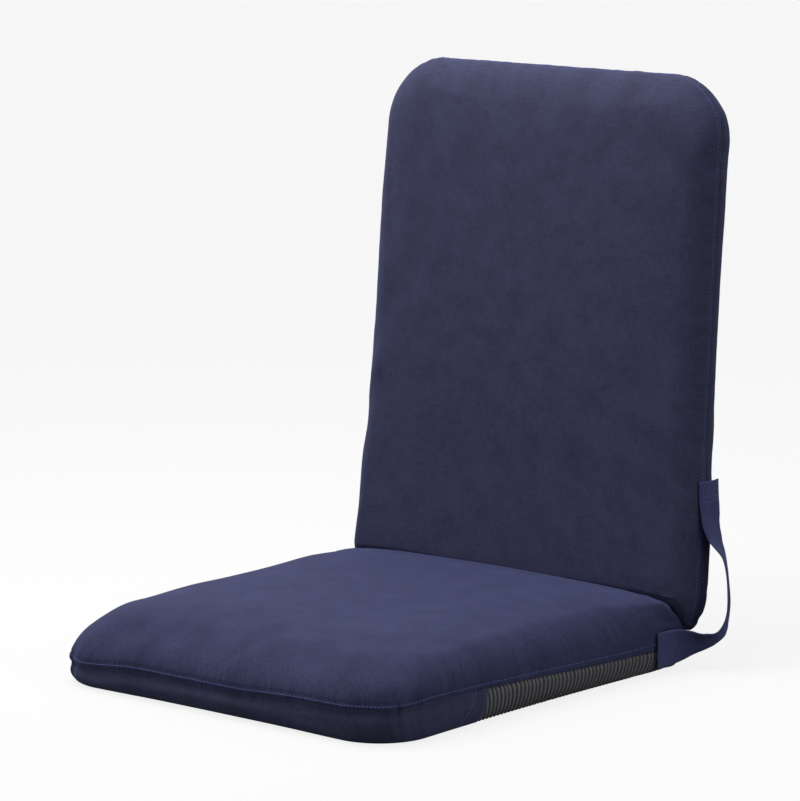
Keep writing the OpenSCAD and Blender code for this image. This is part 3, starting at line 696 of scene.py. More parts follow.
@dataclass(frozen=True)
class Rim:
    """Outline of a cushion in its own plane: a rectangle with round corners."""

    width: float
    low: float
    high: float
    low_radius: float
    high_radius: float

    @property
    def middle(self) -> Vector:
        """Middle of the outline."""
        return Vector((0, (self.low + self.high) / 2))

    def lengths(self) -> tuple[float, float, float]:
        """Lengths round the rim from mid-corner to mid-corner.

        Returns:
            Those of a side, of the high end and of the low end.
        """
        quarter = math.pi / 4
        side = self.high - self.low + (self.low_radius + self.high_radius) * (quarter - 1)
        ends = [self.width + 2 * r * (quarter - 1) for r in (self.high_radius, self.low_radius)]
        return side, ends[0], ends[1]

    def point(self, u: float, v: float) -> tuple[Vector, float]:
        """Point of the outline for a point on the border of the square from -1 to 1.

        Args:
            u: across, from -1 to 1.
            v: along, from -1 to 1.

        Returns:
            The point, and how far along the outline it lies.
        """
        side, high_end, low_end = self.lengths()
        half = self.width / 2
        if abs(u) >= abs(v):
            r1, r2 = self.low_radius, self.high_radius
            run = (v + 1) / 2 * side
            first, last = r1 * math.pi / 4, side - r2 * math.pi / 4
            if run < first:
                turn = run / r1 - math.pi / 4
                x, y = half - r1 + r1 * math.cos(turn), self.low + r1 + r1 * math.sin(turn)
            elif run < last:
                x, y = half, self.low + r1 + run - first
            else:
                turn = (run - last) / r2
                x, y = half - r2 + r2 * math.cos(turn), self.high - r2 + r2 * math.sin(turn)
            along = run if u > 0 else 2 * side + high_end - run
            return Vector((math.copysign(x, u), y)), along
        radius, end = (self.high_radius, high_end) if v > 0 else (self.low_radius, low_end)
        run, straight = abs(u) * end / 2, half - radius
        if run < straight:
            x, rise = run, radius
        else:
            turn = (run - straight) / radius
            x, rise = straight + radius * math.sin(turn), radius * math.cos(turn)
        if v > 0:
            y, along = self.high - radius + rise, side + end / 2 - math.copysign(run, u)
        else:
            y = self.low + radius - rise
            along = 2 * side + high_end + end / 2 + math.copysign(run, u)
        return Vector((math.copysign(x, u), y)), along


@dataclass(frozen=True)
class Swelling:
    """How a cover swells and its seam pulls, as cloth under pressure, and what is kept of it."""

    steps: int = 20
    quality: int = 4
    mass: float = 0.2
    stiffness: float = 18.0
    bending: float = 0.3
    pressure: float = 4.0
    seam_shrink: float = 0.02
    seam_reach: float = 9.0
    even_rounds: int = 4
    drift_rounds: int = 200
    drift_dropped: float = 0.8
    taut: float = 0.12
    fold_reach: float = 45.0
    cap: float = 1.8
    least: float = 1e-9
    neighbours: int = 4
    nearest: float = 0.3
    fine_rounds: int = 10

    def simulate(self, trial: Piece) -> bpy.types.Mesh:
        """Blows a trial piece up.

        Args:
            trial: the piece, whose groups say where it is held and where its seam shrinks.

        Returns:
            Its blown-up mesh.
        """
        cloth = trial.modifiers.new("cloth", "CLOTH")
        settings = cloth.settings
        settings.quality = self.quality
        settings.mass = self.mass
        settings.tension_stiffness = settings.compression_stiffness = self.stiffness
        settings.bending_stiffness = self.bending
        settings.use_pressure = True
        settings.uniform_pressure_force = self.pressure
        settings.vertex_group_mass = "held"
        settings.vertex_group_shrink = "seam"
        settings.shrink_min, settings.shrink_max = 0.0, self.seam_shrink
        settings.effector_weights.gravity = 0
        cloth.collision_settings.use_collision = False
        for step in range(1, self.steps + 1):
            bpy.context.scene.frame_set(step)
        return trial.evaluated_get(bpy.context.evaluated_depsgraph_get()).data

    def folds(self, moves: np.ndarray, pairs: np.ndarray, offs: np.ndarray) -> np.ndarray:
        """Keeps the folds of some moves, and drops most of the slow drift.

        Args:
            moves: how far each vertex moved.
            pairs: the two vertices of each edge.
            offs: how far each vertex is from the seam, as a column.

        Returns:
            The moves that are kept, none longer than the cap, and few far from the seam.
        """
        folds = spread_out(moves, pairs, self.even_rounds)
        folds -= spread_out(folds, pairs, self.drift_rounds) * self.drift_dropped
        folds *= self.taut + (1 - self.taut) * np.exp(-offs / self.fold_reach)
        sizes = np.linalg.norm(folds, axis=1, keepdims=True)
        folds *= np.tanh(sizes / self.cap) * self.cap / np.maximum(sizes, self.least)
        return folds

    def carry_over(self, bm: Mesh, tree: KDTree, folds: np.ndarray) -> None:
        """Moves a fine mesh as the coarse vertices near each of its own.

        Args:
            bm: the fine mesh, changed in place.
            tree: finds the coarse vertices.
            folds: how far each coarse vertex moves.
        """
        moves = []
        for vert in bm.verts:
            near = tree.find_n(vert.co, self.neighbours)
            shares = [1 / (gap + self.nearest) for _, _, gap in near]
            sums = sum(folds[i] * share for (_, i, _), share in zip(near, shares))
            moves.append(sums / sum(shares))
        moves = spread_out(np.array(moves), edge_pairs(bm), self.fine_rounds)
        for vert, move in zip(bm.verts, moves):
            vert.co += Vector(move)


@dataclass(frozen=True)
class Gathers:
    """Small puckers beside a seam, and the faint unevenness of the stuffing further in."""

    height: float = 1.1
    at_corners: float = 1.3
    corner_reach: float = 70.0
    reach: float = 11.0
    fine: Pair = (7.5, 40.0)
    broad: Pair = (19.0, 60.0)
    broad_share: float = 1.1
    broad_seed: float = 7.0
    stuffing_length: float = 90.0
    stuffing_height: float = 0.9

    def lift(self, co: Vector, along: float, off: float, corner_gap: float, seed: float) -> float:
        """How far the cloth stands out at a place.

        Args:
            co: the place.
            along: its distance along the seam.
            off: its distance from the seam.
            corner_gap: distance along the seam to the next corner.
            seed: shifts the pattern.

        Returns:
            The height, which may be below 0.
        """
        near = math.exp(-abs(off) / self.reach)
        fine = noise.noise(Vector((along / self.fine[0], off / self.fine[1], seed)))
        place = Vector((along / self.broad[0], off / self.broad[1], seed + self.broad_seed))
        puckers = near * (fine + self.broad_share * noise.noise(place))
        soft = noise.noise(co / self.stuffing_length + Vector((seed, 0, 0)))
        gathered = self.height * (1 + self.at_corners * ease(1 - corner_gap / self.corner_reach))
        return gathered * puckers + self.stuffing_height * soft * (1 - near)


@dataclass(frozen=True)
class SewnSeam:
    """Where a seam sinks. Each groove has its depth and its width."""

    above: Pair = (1.2, 1.5)
    stitches: Pair = (0.5, 1.6)
    stitches_off: float = 5.5
    below: Pair = (1.0, 2.4)
    under_lip: Pair = (2.6, 5.5)
    under_lip_off: float = -3.0

    def dip(self, off: float, lip: float) -> float:
        """Depth below the swelling cloth.

        Args:
            off: distance from the seam, positive above it.
            lip: how far the upper panel hangs over the seam, from 0 to 1.

        Returns:
            The depth.
        """
        if off >= 0:
            return bump(off, *self.above) + bump(off - self.stitches_off, *self.stitches)
        tucked = bump(off - self.under_lip_off, *self.under_lip)
        return (1 - lip) * bump(off, *self.below) + lip * tucked


@dataclass(frozen=True)
class Pleats:
    """Small folds that cross the seam: a ridge, and a sharp groove beside it.

    Each of the two has its place aside from the fold's middle, its height and its width.
    """

    spots: tuple[Pair, ...] = ()
    ridge: Triple = (-3.0, 2.6, 3.4)
    groove: Triple = (2.2, -6.0, 2.0)
    run_above: float = 9.0
    run_below: float = 22.0

    def height(self, aside: float, off: float) -> float:
        """Height at a distance aside from a fold's middle and off the seam."""
        run = math.exp(-off / self.run_above if off > 0 else off / self.run_below)
        return run * sum(bump(aside - at, *form) for at, *form in (self.ridge, self.groove))


@dataclass
class Cushion:
    """A cushion's cover, blown up from two panels that meet in a seam round its rim."""

    rim: Rim
    cells: int = 168
    coarse_cells: int = 84
    crowding: float = 2.0
    side_draw: float = 2.5
    weld: float = 0.02
    crown_share: float = 0.5
    even_rounds: int = 40
    even_from: Pair = (35.0, 95.0)
    crease_gap: float = 0.3
    crease_soft: float = 7.0
    fill: float = 0.9
    seed: float = 0.0
    swelling: Swelling = Swelling()
    gathers: Gathers = Gathers()
    seam_line: SewnSeam = SewnSeam()
    pleats: Pleats = Pleats()
    cover: BVHTree | None = None

    def upper(self, at: Vector, m: float, rim_at: Vector) -> float:
        """Height of the upper panel.

        Args:
            at: place in the cushion's plane.
            m: how far out it lies, from 0 in the middle to 1 on the rim.
            rim_at: the rim's point beyond it.

        Returns:
            The height.
        """
        raise NotImplementedError

    def lower(self, at: Vector, m: float, rim_at: Vector) -> float:
        """Height of the lower panel.

        Args:
            at: place in the cushion's plane.
            m: how far out it lies, from 0 in the middle to 1 on the rim.
            rim_at: the rim's point beyond it.

        Returns:
            The height.
        """
        raise NotImplementedError

    def place(self, at: Vector, height: float) -> Vector:
        """Puts a point of the cushion's own frame in the part's frame."""
        raise NotImplementedError

    def pressed(self, at: Vector, height: float) -> Vector:
        """Keeps a point clear of the other cushion."""
        raise NotImplementedError

    def held(self, co: Vector) -> float:
        """How firmly a point is held while the cover is blown up, from 0 to 1."""
        raise NotImplementedError

    def lip(self, co: Vector) -> float:
        """How far the upper panel hangs over the seam at a place, from 0 to 1."""
        return 0.0

    def inset(self, m: float, rim_at: Vector) -> float:
        """Distance in from the rim."""
        return (1 - m) * (rim_at - self.rim.middle).length

    def sewn_cover(self) -> Mesh:
        """Builds the closed cover with its folds and its sunken seam.

        Returns:
            The cover in millimetres, in the part's frame.
        """
        bm = self.shell(self.cells)
        self.blow_up(bm)
        self.ruffle(bm)
        for vert in bm.verts:
            vert.co.z = max(vert.co.z, FLOOR_GAP)
        self.cover = BVHTree.FromBMesh(bm)
        return bm

    def shell(self, cells: int) -> Mesh:
        """Builds the closed cover.

        Args:
            cells: number of cells across each panel.

        Returns:
            A mesh whose vertices know their distance along and from the seam.
        """
        bm = bmesh.new()
        along_of = bm.verts.layers.float.new("along")
        off_of = bm.verts.layers.float.new("off")
        ring_of = bm.verts.layers.int.new("ring")
        panel_of = bm.faces.layers.int.new("panel")
        cloth = bm.loops.layers.uv.new("cloth")
        flat: dict[int, Vector] = {}
        middle = self.rim.middle
        for panel, height_at in ((Panel.TOP, self.upper), (Panel.UNDERSIDE, self.lower)):
            made = bmesh.ops.create_grid(bm, x_segments=cells, y_segments=cells, size=1.0)
            bm.verts.index_update()
            top = height_at(middle, 0.0, middle)
            for vert in made["verts"]:
                u, v = vert.co.x, vert.co.y
                g = max(abs(u), abs(v))
                centre = g <= TINY
                rim_at, along = self.rim.point(1.0, 0.0) if centre else self.rim.point(u / g, v / g)
                m = 1 - (1 - g) ** self.crowding if g < 1 - TINY else 1.0
                at = middle + (rim_at - middle) * m
                height = height_at(at, m, rim_at)
                seam = height_at(rim_at, 1.0, rim_at)
                off = math.hypot((rim_at - at).length, height - seam)
                vert[along_of], vert[off_of] = along, off if panel is Panel.TOP else -off
                vert[ring_of] = round((1 - g) * cells / 2)
                out = Vector((0, 0)) if centre else (rim_at - middle).normalized()
                flat[vert.index] = at + out * abs(top - height) * self.crown_share
                vert.co = self.place(self.pressed(self.drawn_in(at), height), height)
            faces = {f for vert in made["verts"] for f in vert.link_faces}
            for face in faces:
                face[panel_of] = panel.value
            lay_flat(faces, cloth, lambda vert: flat[vert.index])
        bmesh.ops.remove_doubles(bm, verts=bm.verts, dist=self.weld)
        bmesh.ops.recalc_face_normals(bm, faces=bm.faces)
        self.soften(bm)
        bm.normal_update()
        return bm

    def drawn_in(self, at: Vector) -> Vector:
        """Draws the sides in between the corners.

        Args:
            at: place in the cushion's plane.

        Returns:
            Its place after that.
        """
        rim = self.rim
        along = (2 * at.y - rim.low - rim.high) / (rim.high - rim.low)
        draw = self.side_draw * at.x / (rim.width / 2) * max(0.0, 1 - along * along)
        return Vector((at.x - draw, at.y))

    def soften(self, bm: Mesh) -> None:
        """Evens out the middle of the panels, where the grid's diagonals would show.

        Args:
            bm: the closed cover, changed in place.
        """
        off_of = bm.verts.layers.float["off"]
        pairs = edge_pairs(bm)
        spots = np.array([vert.co for vert in bm.verts])
        for vert, moved in zip(bm.verts, spread_out(spots, pairs, self.even_rounds)):
            vert.co += (Vector(moved) - vert.co) * between(abs(vert[off_of]), self.even_from)

    def blow_up(self, bm: Mesh) -> None:
        """Gives the cover the folds of a coarser one that is blown up.

        Args:
            bm: the closed cover, moved in place by at most the swelling's cap.
        """
        coarse = self.shell(self.coarse_cells)
        trial = finished("trial", coarse.copy(), NAVY)
        pins = trial.vertex_groups.new(name="held")
        seam = trial.vertex_groups.new(name="seam")
        off_of = coarse.verts.layers.float["off"]
        tree = KDTree(len(coarse.verts))
        for i, vert in enumerate(coarse.verts):
            tree.insert(vert.co, i)
            pins.add([i], self.held(vert.co), "REPLACE")
            reach = 1 - abs(vert[off_of]) / self.swelling.seam_reach
            seam.add([i], max(0.0, reach), "REPLACE")
        tree.balance()
        blown = self.swelling.simulate(trial).vertices
        moves = np.array([new.co / MM - old.co for old, new in zip(coarse.verts, blown)])
        offs = np.array([abs(vert[off_of]) for vert in coarse.verts])[:, None]
        folds = self.swelling.folds(moves, edge_pairs(coarse), offs)
        self.swelling.carry_over(bm, tree, folds)
        coarse.free()
        bpy.context.scene.frame_set(1)
        bpy.data.objects.remove(trial)
        bm.normal_update()

    def ruffle(self, bm: Mesh) -> None:
        """Sinks the seam, gathers the cloth beside it and lays its pleats.

        Args:
            bm: the closed cover, changed in place.
        """
        along_of = bm.verts.layers.float["along"]
        off_of = bm.verts.layers.float["off"]
        seam = [v for v in bm.verts if abs(v[off_of]) < self.weld]
        folds = [
            min(seam, key=lambda v: (v.co.xy - Vector(spot)).length)[along_of]
            for spot in self.pleats.spots
        ]
        moves = []
        for vert in bm.verts:
            along, off = vert[along_of], vert[off_of]
            lift = self.gathers.lift(vert.co, along, off, self.corner_gap(along), self.seed)
            lift += sum(self.pleats.height(along - fold, off) for fold in folds)
            sunk = self.seam_line.dip(off, self.lip(vert.co)) + CREASE.fan(vert.co)
            moves.append(vert.normal * (lift * (1 - self.held(vert.co)) - sunk))
        for vert, move in zip(bm.verts, moves):
            vert.co += move
        bm.normal_update()

    def corner_gap(self, along: float) -> float:
        """Distance along the seam to the middle of the next corner.

        Args:
            along: place along the seam.

        Returns:
            The distance.
        """
        side, high_end, low_end = self.rim.lengths()
        trip = 2 * side + high_end + low_end
        corners = (0, side, side + high_end, 2 * side + high_end)
        return min(abs((along - at + trip / 2) % trip - trip / 2) for at in corners)

    def stitch_ring(self, bm: Mesh) -> Line:
        """Points and normals in order round the rim, along the stitches above the seam.

        Args:
            bm: the closed cover.

        Returns:
            The line for the stitches.
        """
        along_of = bm.verts.layers.float["along"]
        off_of = bm.verts.layers.float["off"]
        ring_of = bm.verts.layers.int["ring"]
        sums: dict[int, list[float]] = {}
        for vert in bm.verts:
            if vert[off_of] > 0 or vert[ring_of] == 0:
                sums.setdefault(vert[ring_of], []).append(abs(vert[off_of]))
        off = self.seam_line.stitches_off
        best = min(sums, key=lambda r: abs(sum(sums[r]) / len(sums[r]) - off))
        chosen = [v for v in bm.verts if v[ring_of] == best and v[off_of] > 0]
        chosen.sort(key=lambda v: v[along_of])
        return [(v.co.copy(), v.normal.copy()) for v in chosen]

    def cut_panel(self, bm: Mesh, panel: Panel) -> Mesh:
        """Copies one panel out of the closed cover.

        Args:
            bm: the closed cover.
            panel: the panel that is kept.

        Returns:
            The panel as its own mesh.
        """
        part = bm.copy()
        panel_of = part.faces.layers.int["panel"]
        others = [f for f in part.faces if f[panel_of] != panel.value]
        bmesh.ops.delete(part, geom=others, context="FACES")
        return part


@dataclass
class Crease:
    """The line behind the sitter where seat and back press on each other.

    A point of the side view has its place to the rear as x and its height as y.
    """

    top: Vector = field(default_factory=lambda: Vector((200.0, 66.8)))
    notch: Vector = field(default_factory=lambda: Vector((222.0, 29.2)))
    axis: Vector = field(default_factory=lambda: Vector((208.0, 53.0)))
    lean: float = math.radians(5)
    toe_radius: float = 22.0
    heel_rise: float = 28.0
    heel_rear: float = 47.0
    seat_reach: float = 14.0
    back_reach: float = 18.0
    fan_at: Triple = (200.0, 213.0, 42.0)
    fan_folds: int = 9
    fan_wander: float = 2.0
    fan_wander_length: float = 14.0
    fan_depth: float = 4.4
    fan_reach: float = 26.0
    fan_start: float = 16.0

    def seat_limit(self, z: float) -> float:
        """Furthest to the rear that the seat comes at a height.

        Args:
            z: the height.

        Returns:
            The place along Y.
        """
        top, notch = self.top, self.notch
        if z > notch.y:
            return top.x + (top.y - z) * (notch.x - top.x) / (top.y - notch.y)
        drop = (notch.y - z) / notch.y
        return notch.x - self.toe_radius * (1 - math.sqrt(max(0.0, 1 - drop * drop)))

    def to_back(self, at: Vector) -> Vector:
        """A point of the side view in the back's frame.

        Args:
            at: the point.

        Returns:
            Its place through the back and up along it.
        """
        y, z = at.x - self.axis.x, at.y - self.axis.y
        cos, sin = math.cos(self.lean), math.sin(self.lean)
        return Vector((y * cos - z * sin, y * sin + z * cos))

    def from_back(self, x: float, through: float, up: float) -> Vector:
        """A point of the back's frame in the part's frame.

        Args:
            x: its place across.
            through: its place through the back.
            up: its place up along the back.

        Returns:
            The point.
        """
        cos, sin = math.cos(self.lean), math.sin(self.lean)
        return Vector((
            x, self.axis.x + through * cos + up * sin, self.axis.y - through * sin + up * cos,
        ))

    def back_limit(self, through: float) -> float:
        """Lowest that the back comes at a distance through it.

        Args:
            through: the distance.

        Returns:
            The place up along the back.
        """
        top, notch = self.to_back(self.top), self.to_back(self.notch)
        if through < notch.x:
            return notch.y + (through - notch.x) * (notch.y - top.y) / (notch.x - top.x)
        share = min(1.0, (through - notch.x) / (self.heel_rear - notch.x))
        return notch.y + self.heel_rise * (1 - math.sqrt(1 - share * share))

    def fan(self, co: Vector) -> float:
        """Depth of the folds that fan out from the hinge's ends, where the cloth is gathered.

        Args:
            co: a place on the cloth.

        Returns:
            The depth there.
        """
        aside = Vector((abs(co.x), co.y, co.z)) - Vector(self.fan_at)
        turn = math.atan2(aside.z, aside.y)
        wander = self.fan_wander * noise.noise(co / self.fan_wander_length)
        fold = ((1 + math.cos(self.fan_folds * turn + wander)) / 2) ** 2
        fading = math.exp(-aside.length / self.fan_reach) * ease(aside.length / self.fan_start)
        return self.fan_depth * fold * fading

    def bend(self, piece: Piece) -> None:
        """Lets a piece turn with the back, in one field that all cloth at the hinge shares.

        Args:
            piece: the cloth, the foam or the stitches.
        """
        low, high = self.top.x - self.seat_reach, self.top.x + self.back_reach
        start = Vector((0, low, self.top.y - self.seat_reach)) * MM
        end = Vector((0, high, self.top.y + self.back_reach)) * MM
        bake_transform(piece, "seat", "back", start=start, end=end)


CREASE = Crease()


@dataclass
class Stitching:
    """A row of lockstitches."""

    pitch: float = 3.6
    length: float = 2.6
    thick: float = 0.75
    raised: float = 0.15
    segments: int = 6
    rings: int = 5

    def sew(self, name: str, line: Line, closed: bool = False) -> Piece:
        """Lays stitches along a line on the cloth.

        Args:
            name: name of the piece.
            line: points and normals of the cloth.
            closed: the line comes round to its start.

        Returns:
            One piece that holds all the stitches.
        """
        bead = bmesh.new()
        bmesh.ops.create_uvsphere(
            bead, u_segments=self.segments, v_segments=self.rings, radius=1.0,
            matrix=Matrix.Rotation(math.pi / 2, 4, "Y"),
        )
        stitch = bpy.data.meshes.new("stitch")
        bead.to_mesh(stitch)
        bead.free()
        bm = bmesh.new()
        size = Matrix.Diagonal((self.length / 2, self.thick / 2, self.thick / 2, 1))
        if closed:
            line = [*line, line[0]]
        left = self.pitch / 2
        for (a, na), (b, nb) in zip(line, line[1:]):
            span = (b - a).length
            if span < TINY:
                continue
            along = (b - a) / span
            while left <= span:
                normal = na.lerp(nb, left / span)
                normal = (normal - along * normal.dot(along)).normalized()
                turn = Matrix((along, normal.cross(along), normal)).transposed().to_4x4()
                spot = a + along * left + normal * self.thick * self.raised
                laid = Matrix.Translation(spot) @ turn @ size
                stitch.transform(laid)
                bm.from_mesh(stitch)
                stitch.transform(laid.inverted())
                left += self.pitch
            left -= span
        bpy.data.meshes.remove(stitch)
        piece = finished(name, bm, THREAD)
        return piece


# ---- Pieces of the chair ----


@dataclass
class SeatCushion(Cushion):
    """The seat: a navy top, a navy band in front, ribbed mesh round the rest, a plain underside.

    A pair of places along X, Y or Z is where a change begins and where it is complete.
    """

    rim: Rim = Rim(420.0, -222.0, 243.0, 54.0, 44.0)
    seed: float = 3.0
    pleats: Pleats = Pleats(((201.0, -198.0), (-206.0, -186.0), (-190.0, -213.0)))
    # The top: heights over the floor, and widths of its rolls.
    height: float = 76.0
    edge_height: float = 69.5
    front_height: float = 64.0
    edge_roll: float = 34.0
    front_roll: float = 62.0
    rear_roll: float = 17.0
    rear_end: Pair = (120.0, 210.0)
    front_end: Pair = (-140.0, -215.0)
    fall_run: Pair = (-40.0, -190.0)
    crown_fall: float = 1.5
    crown_reach: float = 120.0
    rear_reach_cut: float = 30.0
    # The rear sinks towards the back, least in the middle.
    rear_crown: float = 0.7
    rear_shoulder_drop: float = 8.0
    rear_crown_drop: float = 6.0
    rear_drop_run: Pair = (90.0, 210.0)
    # The sitter's right front corner droops.
    droop: float = 5.0
    droop_across: Pair = (-50.0, -170.0)
    droop_run: Pair = (-50.0, -170.0)
    # The side seam: its height, its sag to the right in front, and its dip at the front edge.
    seam_front: float = 34.5
    seam_rear: float = 20.5
    seam_run: Pair = (-190.0, 240.0)
    sags: tuple[tuple[float, Pair], ...] = ((4.0, (110.0, 20.0)), (7.0, (-90.0, -180.0)))
    sag_run: Pair = (-60.0, -190.0)
    seam_dip: float = 3.5
    seam_dip_run: Pair = (-160.0, -210.0)
    # The underside, tucked up a little between the front corners.
    floor: float = 0.4
    base_roll: float = 11.0
    base_reach: float = 150.0
    tuck: float = 0.4
    tuck_run: Pair = (-150.0, -210.0)
    tuck_across: Pair = (150.0, 60.0)
    tuck_inwards: Pair = (0.5, 0.8)
    # The panels below the seam, and the rows of stitches on the band's slanted ends.
    base_edge: float = 42.5
    base_thickness: float = 1.0
    band_end: Pair = (-79.0, -89.0)
    band_seams: tuple[Pair, ...] = ((-81.5, -91.5), (-92.5, -119.0))
    band_seam_side: float = 170.0
    band_seam_floor: float = 2.0
    seam_snap: float = 0.01
    line_snap: float = 0.001
    lip_run: float = 50.0
    rib_depth: float = 0.6
    rib_slope: float = 0.8
    held_rear: Pair = (165.0, 190.0)
    held_floor: Pair = (10.0, 2.0)

    def seam(self, at: Vector) -> float:
        """Height of the side seam.

        Args:
            at: place in the cushion's plane.

        Returns:
            The height.
        """
        height = self.seam_front + (self.seam_rear - self.seam_front) * between(at.y, self.seam_run)
        sag = sum(depth * between(at.x, across) for depth, across in self.sags)
        dip = self.seam_dip * between(at.y, self.seam_dip_run)
        return height - sag * between(at.y, self.sag_run) - dip

    def upper(self, at: Vector, m: float, rim_at: Vector) -> float:
        """Height of the top: a full roll at the front and sides, and square at the crease.

        Args:
            at: place in the cushion's plane.
            m: how far out it lies, from 0 in the middle to 1 on the rim.
            rim_at: the rim's point beyond it.

        Returns:
            The height.
        """
        rear, front = between(rim_at.y, self.rear_end), between(rim_at.y, self.front_end)
        seam, fall = self.seam(at), between(at.y, self.fall_run)
        droop = self.droop * between(at.x, self.droop_across) * between(at.y, self.droop_run)
        low = 1 - self.rear_crown * (1 - (2 * at.x / self.rim.width) ** 2) ** 2
        shoulder = self.edge_height + (self.front_height - self.edge_height) * fall
        shoulder += -self.rear_shoulder_drop * rear * low - droop
        roll = self.edge_roll + (self.front_roll - self.edge_roll) * front
        roll += (self.rear_roll - self.edge_roll) * rear
        crown = self.height - self.rear_crown_drop * low * between(at.y, self.rear_drop_run)
        crown -= self.crown_fall * fall
        reach = self.crown_reach - self.rear_reach_cut * rear
        return seam + rolled(self.inset(m, rim_at), roll, shoulder - seam, crown - seam, reach)

    def lower(self, at: Vector, m: float, rim_at: Vector) -> float:
        """Height of the lower side.

        Args:
            at: place in the cushion's plane.
            m: how far out it lies, from 0 in the middle to 1 on the rim.
            rim_at: the rim's point beyond it.

        Returns:
            The height.
        """
        seam = self.seam(at)
        front = between(at.y, self.tuck_run) * between(abs(at.x), self.tuck_across)
        deep = seam - (self.floor + self.tuck * front * between(m, self.tuck_inwards))
        return seam - rolled(self.inset(m, rim_at), self.base_roll, deep, deep, self.base_reach)

    def place(self, at: Vector, height: float) -> Vector:
        """The seat's own frame is the part's."""
        return Vector((at.x, at.y, height))

    def pressed(self, at: Vector, height: float) -> Vector:
        """Keeps the seat in front of the crease."""
        limit = CREASE.seat_limit(height) - self.crease_gap
        return Vector((at.x, soft_min(at.y, limit, self.crease_soft)))

    def lip(self, co: Vector) -> float:
        """The top hangs over the band, not over the mesh."""
        return ease((self.band_end[1] - co.y) / self.lip_run)

    def held(self, co: Vector) -> float:
        """Held on the floor and along the crease."""
        return max(between(co.y, self.held_rear), between(co.z, self.held_floor))

    def build(self) -> None:
        """Builds the seat's cover, panel by panel."""
        bm = self.sewn_cover()
        self.mark_panels(bm)
        stitches = self.stitch_ring(bm)
        seams = [line for ends in self.band_seams for line in self.slanted(bm, ends)]
        top = panel_piece(
            "seat_top_panel", self.cut_panel(bm, Panel.TOP), SEAT_NAVY_REFLECTION_TINT, "seat_cover_top",
        )
        band = panel_piece(
            "seat_front_band", self.cut_panel(bm, Panel.BAND), NAVY, "seat_cover_band",
        )
        sides = panel_piece(
            "seat_ribbed_sides", self.ribbed(self.cut_panel(bm, Panel.SIDES)), RIBBED,
            "seat_side_mesh",
        )
        base = panel_piece(
            "seat_base_cloth", self.cut_panel(bm, Panel.UNDERSIDE), UNDERSIDE,
            "seat_underside_panel", thickness=self.base_thickness,
        )
        bm.free()
        sewn = Stitching().sew("seat_topstitching", stitches, closed=True)
        for i, line in enumerate(seams):
            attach(Stitching().sew(f"band_end_stitches_{i + 1}", line), "seat")
        for piece in (top, sides, base, sewn):
            CREASE.bend(piece)
        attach(band, "seat")

    def across(self, ends: Pair) -> Vector:
        """Direction to the rear across a slanted line, from where its top and its base lie."""
        return Vector((0, self.seam_front, ends[1] - ends[0])).normalized()

    def slanted(self, bm: Mesh, ends: Pair) -> list[Line]:
        """Slanted lines on the two ends of the band.

        Args:
            bm: the cover, with its panels marked.
            ends: how far to the rear the line's top and its base lie.

        Returns:
            A line of points and normals for each side of the seat.
        """
        part = self.cut_panel(bm, Panel.BAND)
        part.normal_update()
        cut = bmesh.ops.bisect_plane(
            part, geom=[*part.verts, *part.edges, *part.faces], dist=self.line_snap,
            plane_co=(0, ends[1], 0), plane_no=self.across(ends),
        )["geom_cut"]
        verts = [v for v in cut if isinstance(v, bmesh.types.BMVert)]
        verts = sorted([v for v in verts if v.co.z > self.band_seam_floor], key=lambda v: v.co.z)
        lines = [
            [(v.co.copy(), v.normal.copy()) for v in verts if v.co.x * side > self.band_seam_side]
            for side in (1, -1)
        ]
        part.free()
        return lines

    def mark_panels(self, bm: Mesh) -> None:
        """Cuts the lower side along the slanted seam, and marks band, mesh and underside.

        Args:
            bm: the closed cover, changed in place.
        """
        panel_of = bm.faces.layers.int["panel"]
        lower = [f for f in bm.faces if f[panel_of] != Panel.TOP.value]
        start, slant = Vector((0, self.band_end[1], 0)), self.across(self.band_end)
        geom = {*lower, *[e for f in lower for e in f.edges], *[v for f in lower for v in f.verts]}
        bmesh.ops.bisect_plane(
            bm, geom=list(geom), dist=self.seam_snap, plane_co=start, plane_no=slant,
        )
        off_of = bm.verts.layers.float["off"]
        for face in bm.faces:
            if face[panel_of] == Panel.TOP.value:
                continue
            inward = sum(-v[off_of] for v in face.verts) / len(face.verts)
            ahead = (face.calc_center_median() - start).dot(slant) < 0
            if inward > self.base_edge:
                face[panel_of] = Panel.UNDERSIDE.value
            else:
                face[panel_of] = (Panel.BAND if ahead else Panel.SIDES).value

    def ribbed(self, bm: Mesh) -> Mesh:
        """Raises the mesh's cords, which run up the side.

        Args:
            bm: the mesh panel.

        Returns:
            The same mesh, finer, with cords.
        """
        along_of = bm.verts.layers.float["along"]
        off_of = bm.verts.layers.float["off"]
        cord = bm.loops.layers.uv.new("cord")
        across = []
        for edge in bm.edges:
            a, b = edge.verts
            if abs(a[along_of] - b[along_of]) > self.rib_slope * abs(a[off_of] - b[off_of]):
                across.append(edge)
        bmesh.ops.subdivide_edges(bm, edges=across, cuts=1, use_grid_fill=True)
        bm.normal_update()
        lay_flat(bm.faces, cord, lambda vert: Vector((vert[along_of], vert[off_of])))
        for vert in bm.verts:
            wave = math.cos(2 * math.pi * vert[along_of] / RIBBED.cord_mm)
            vert.co += vert.normal * self.rib_depth * (wave - 1)
        return bm


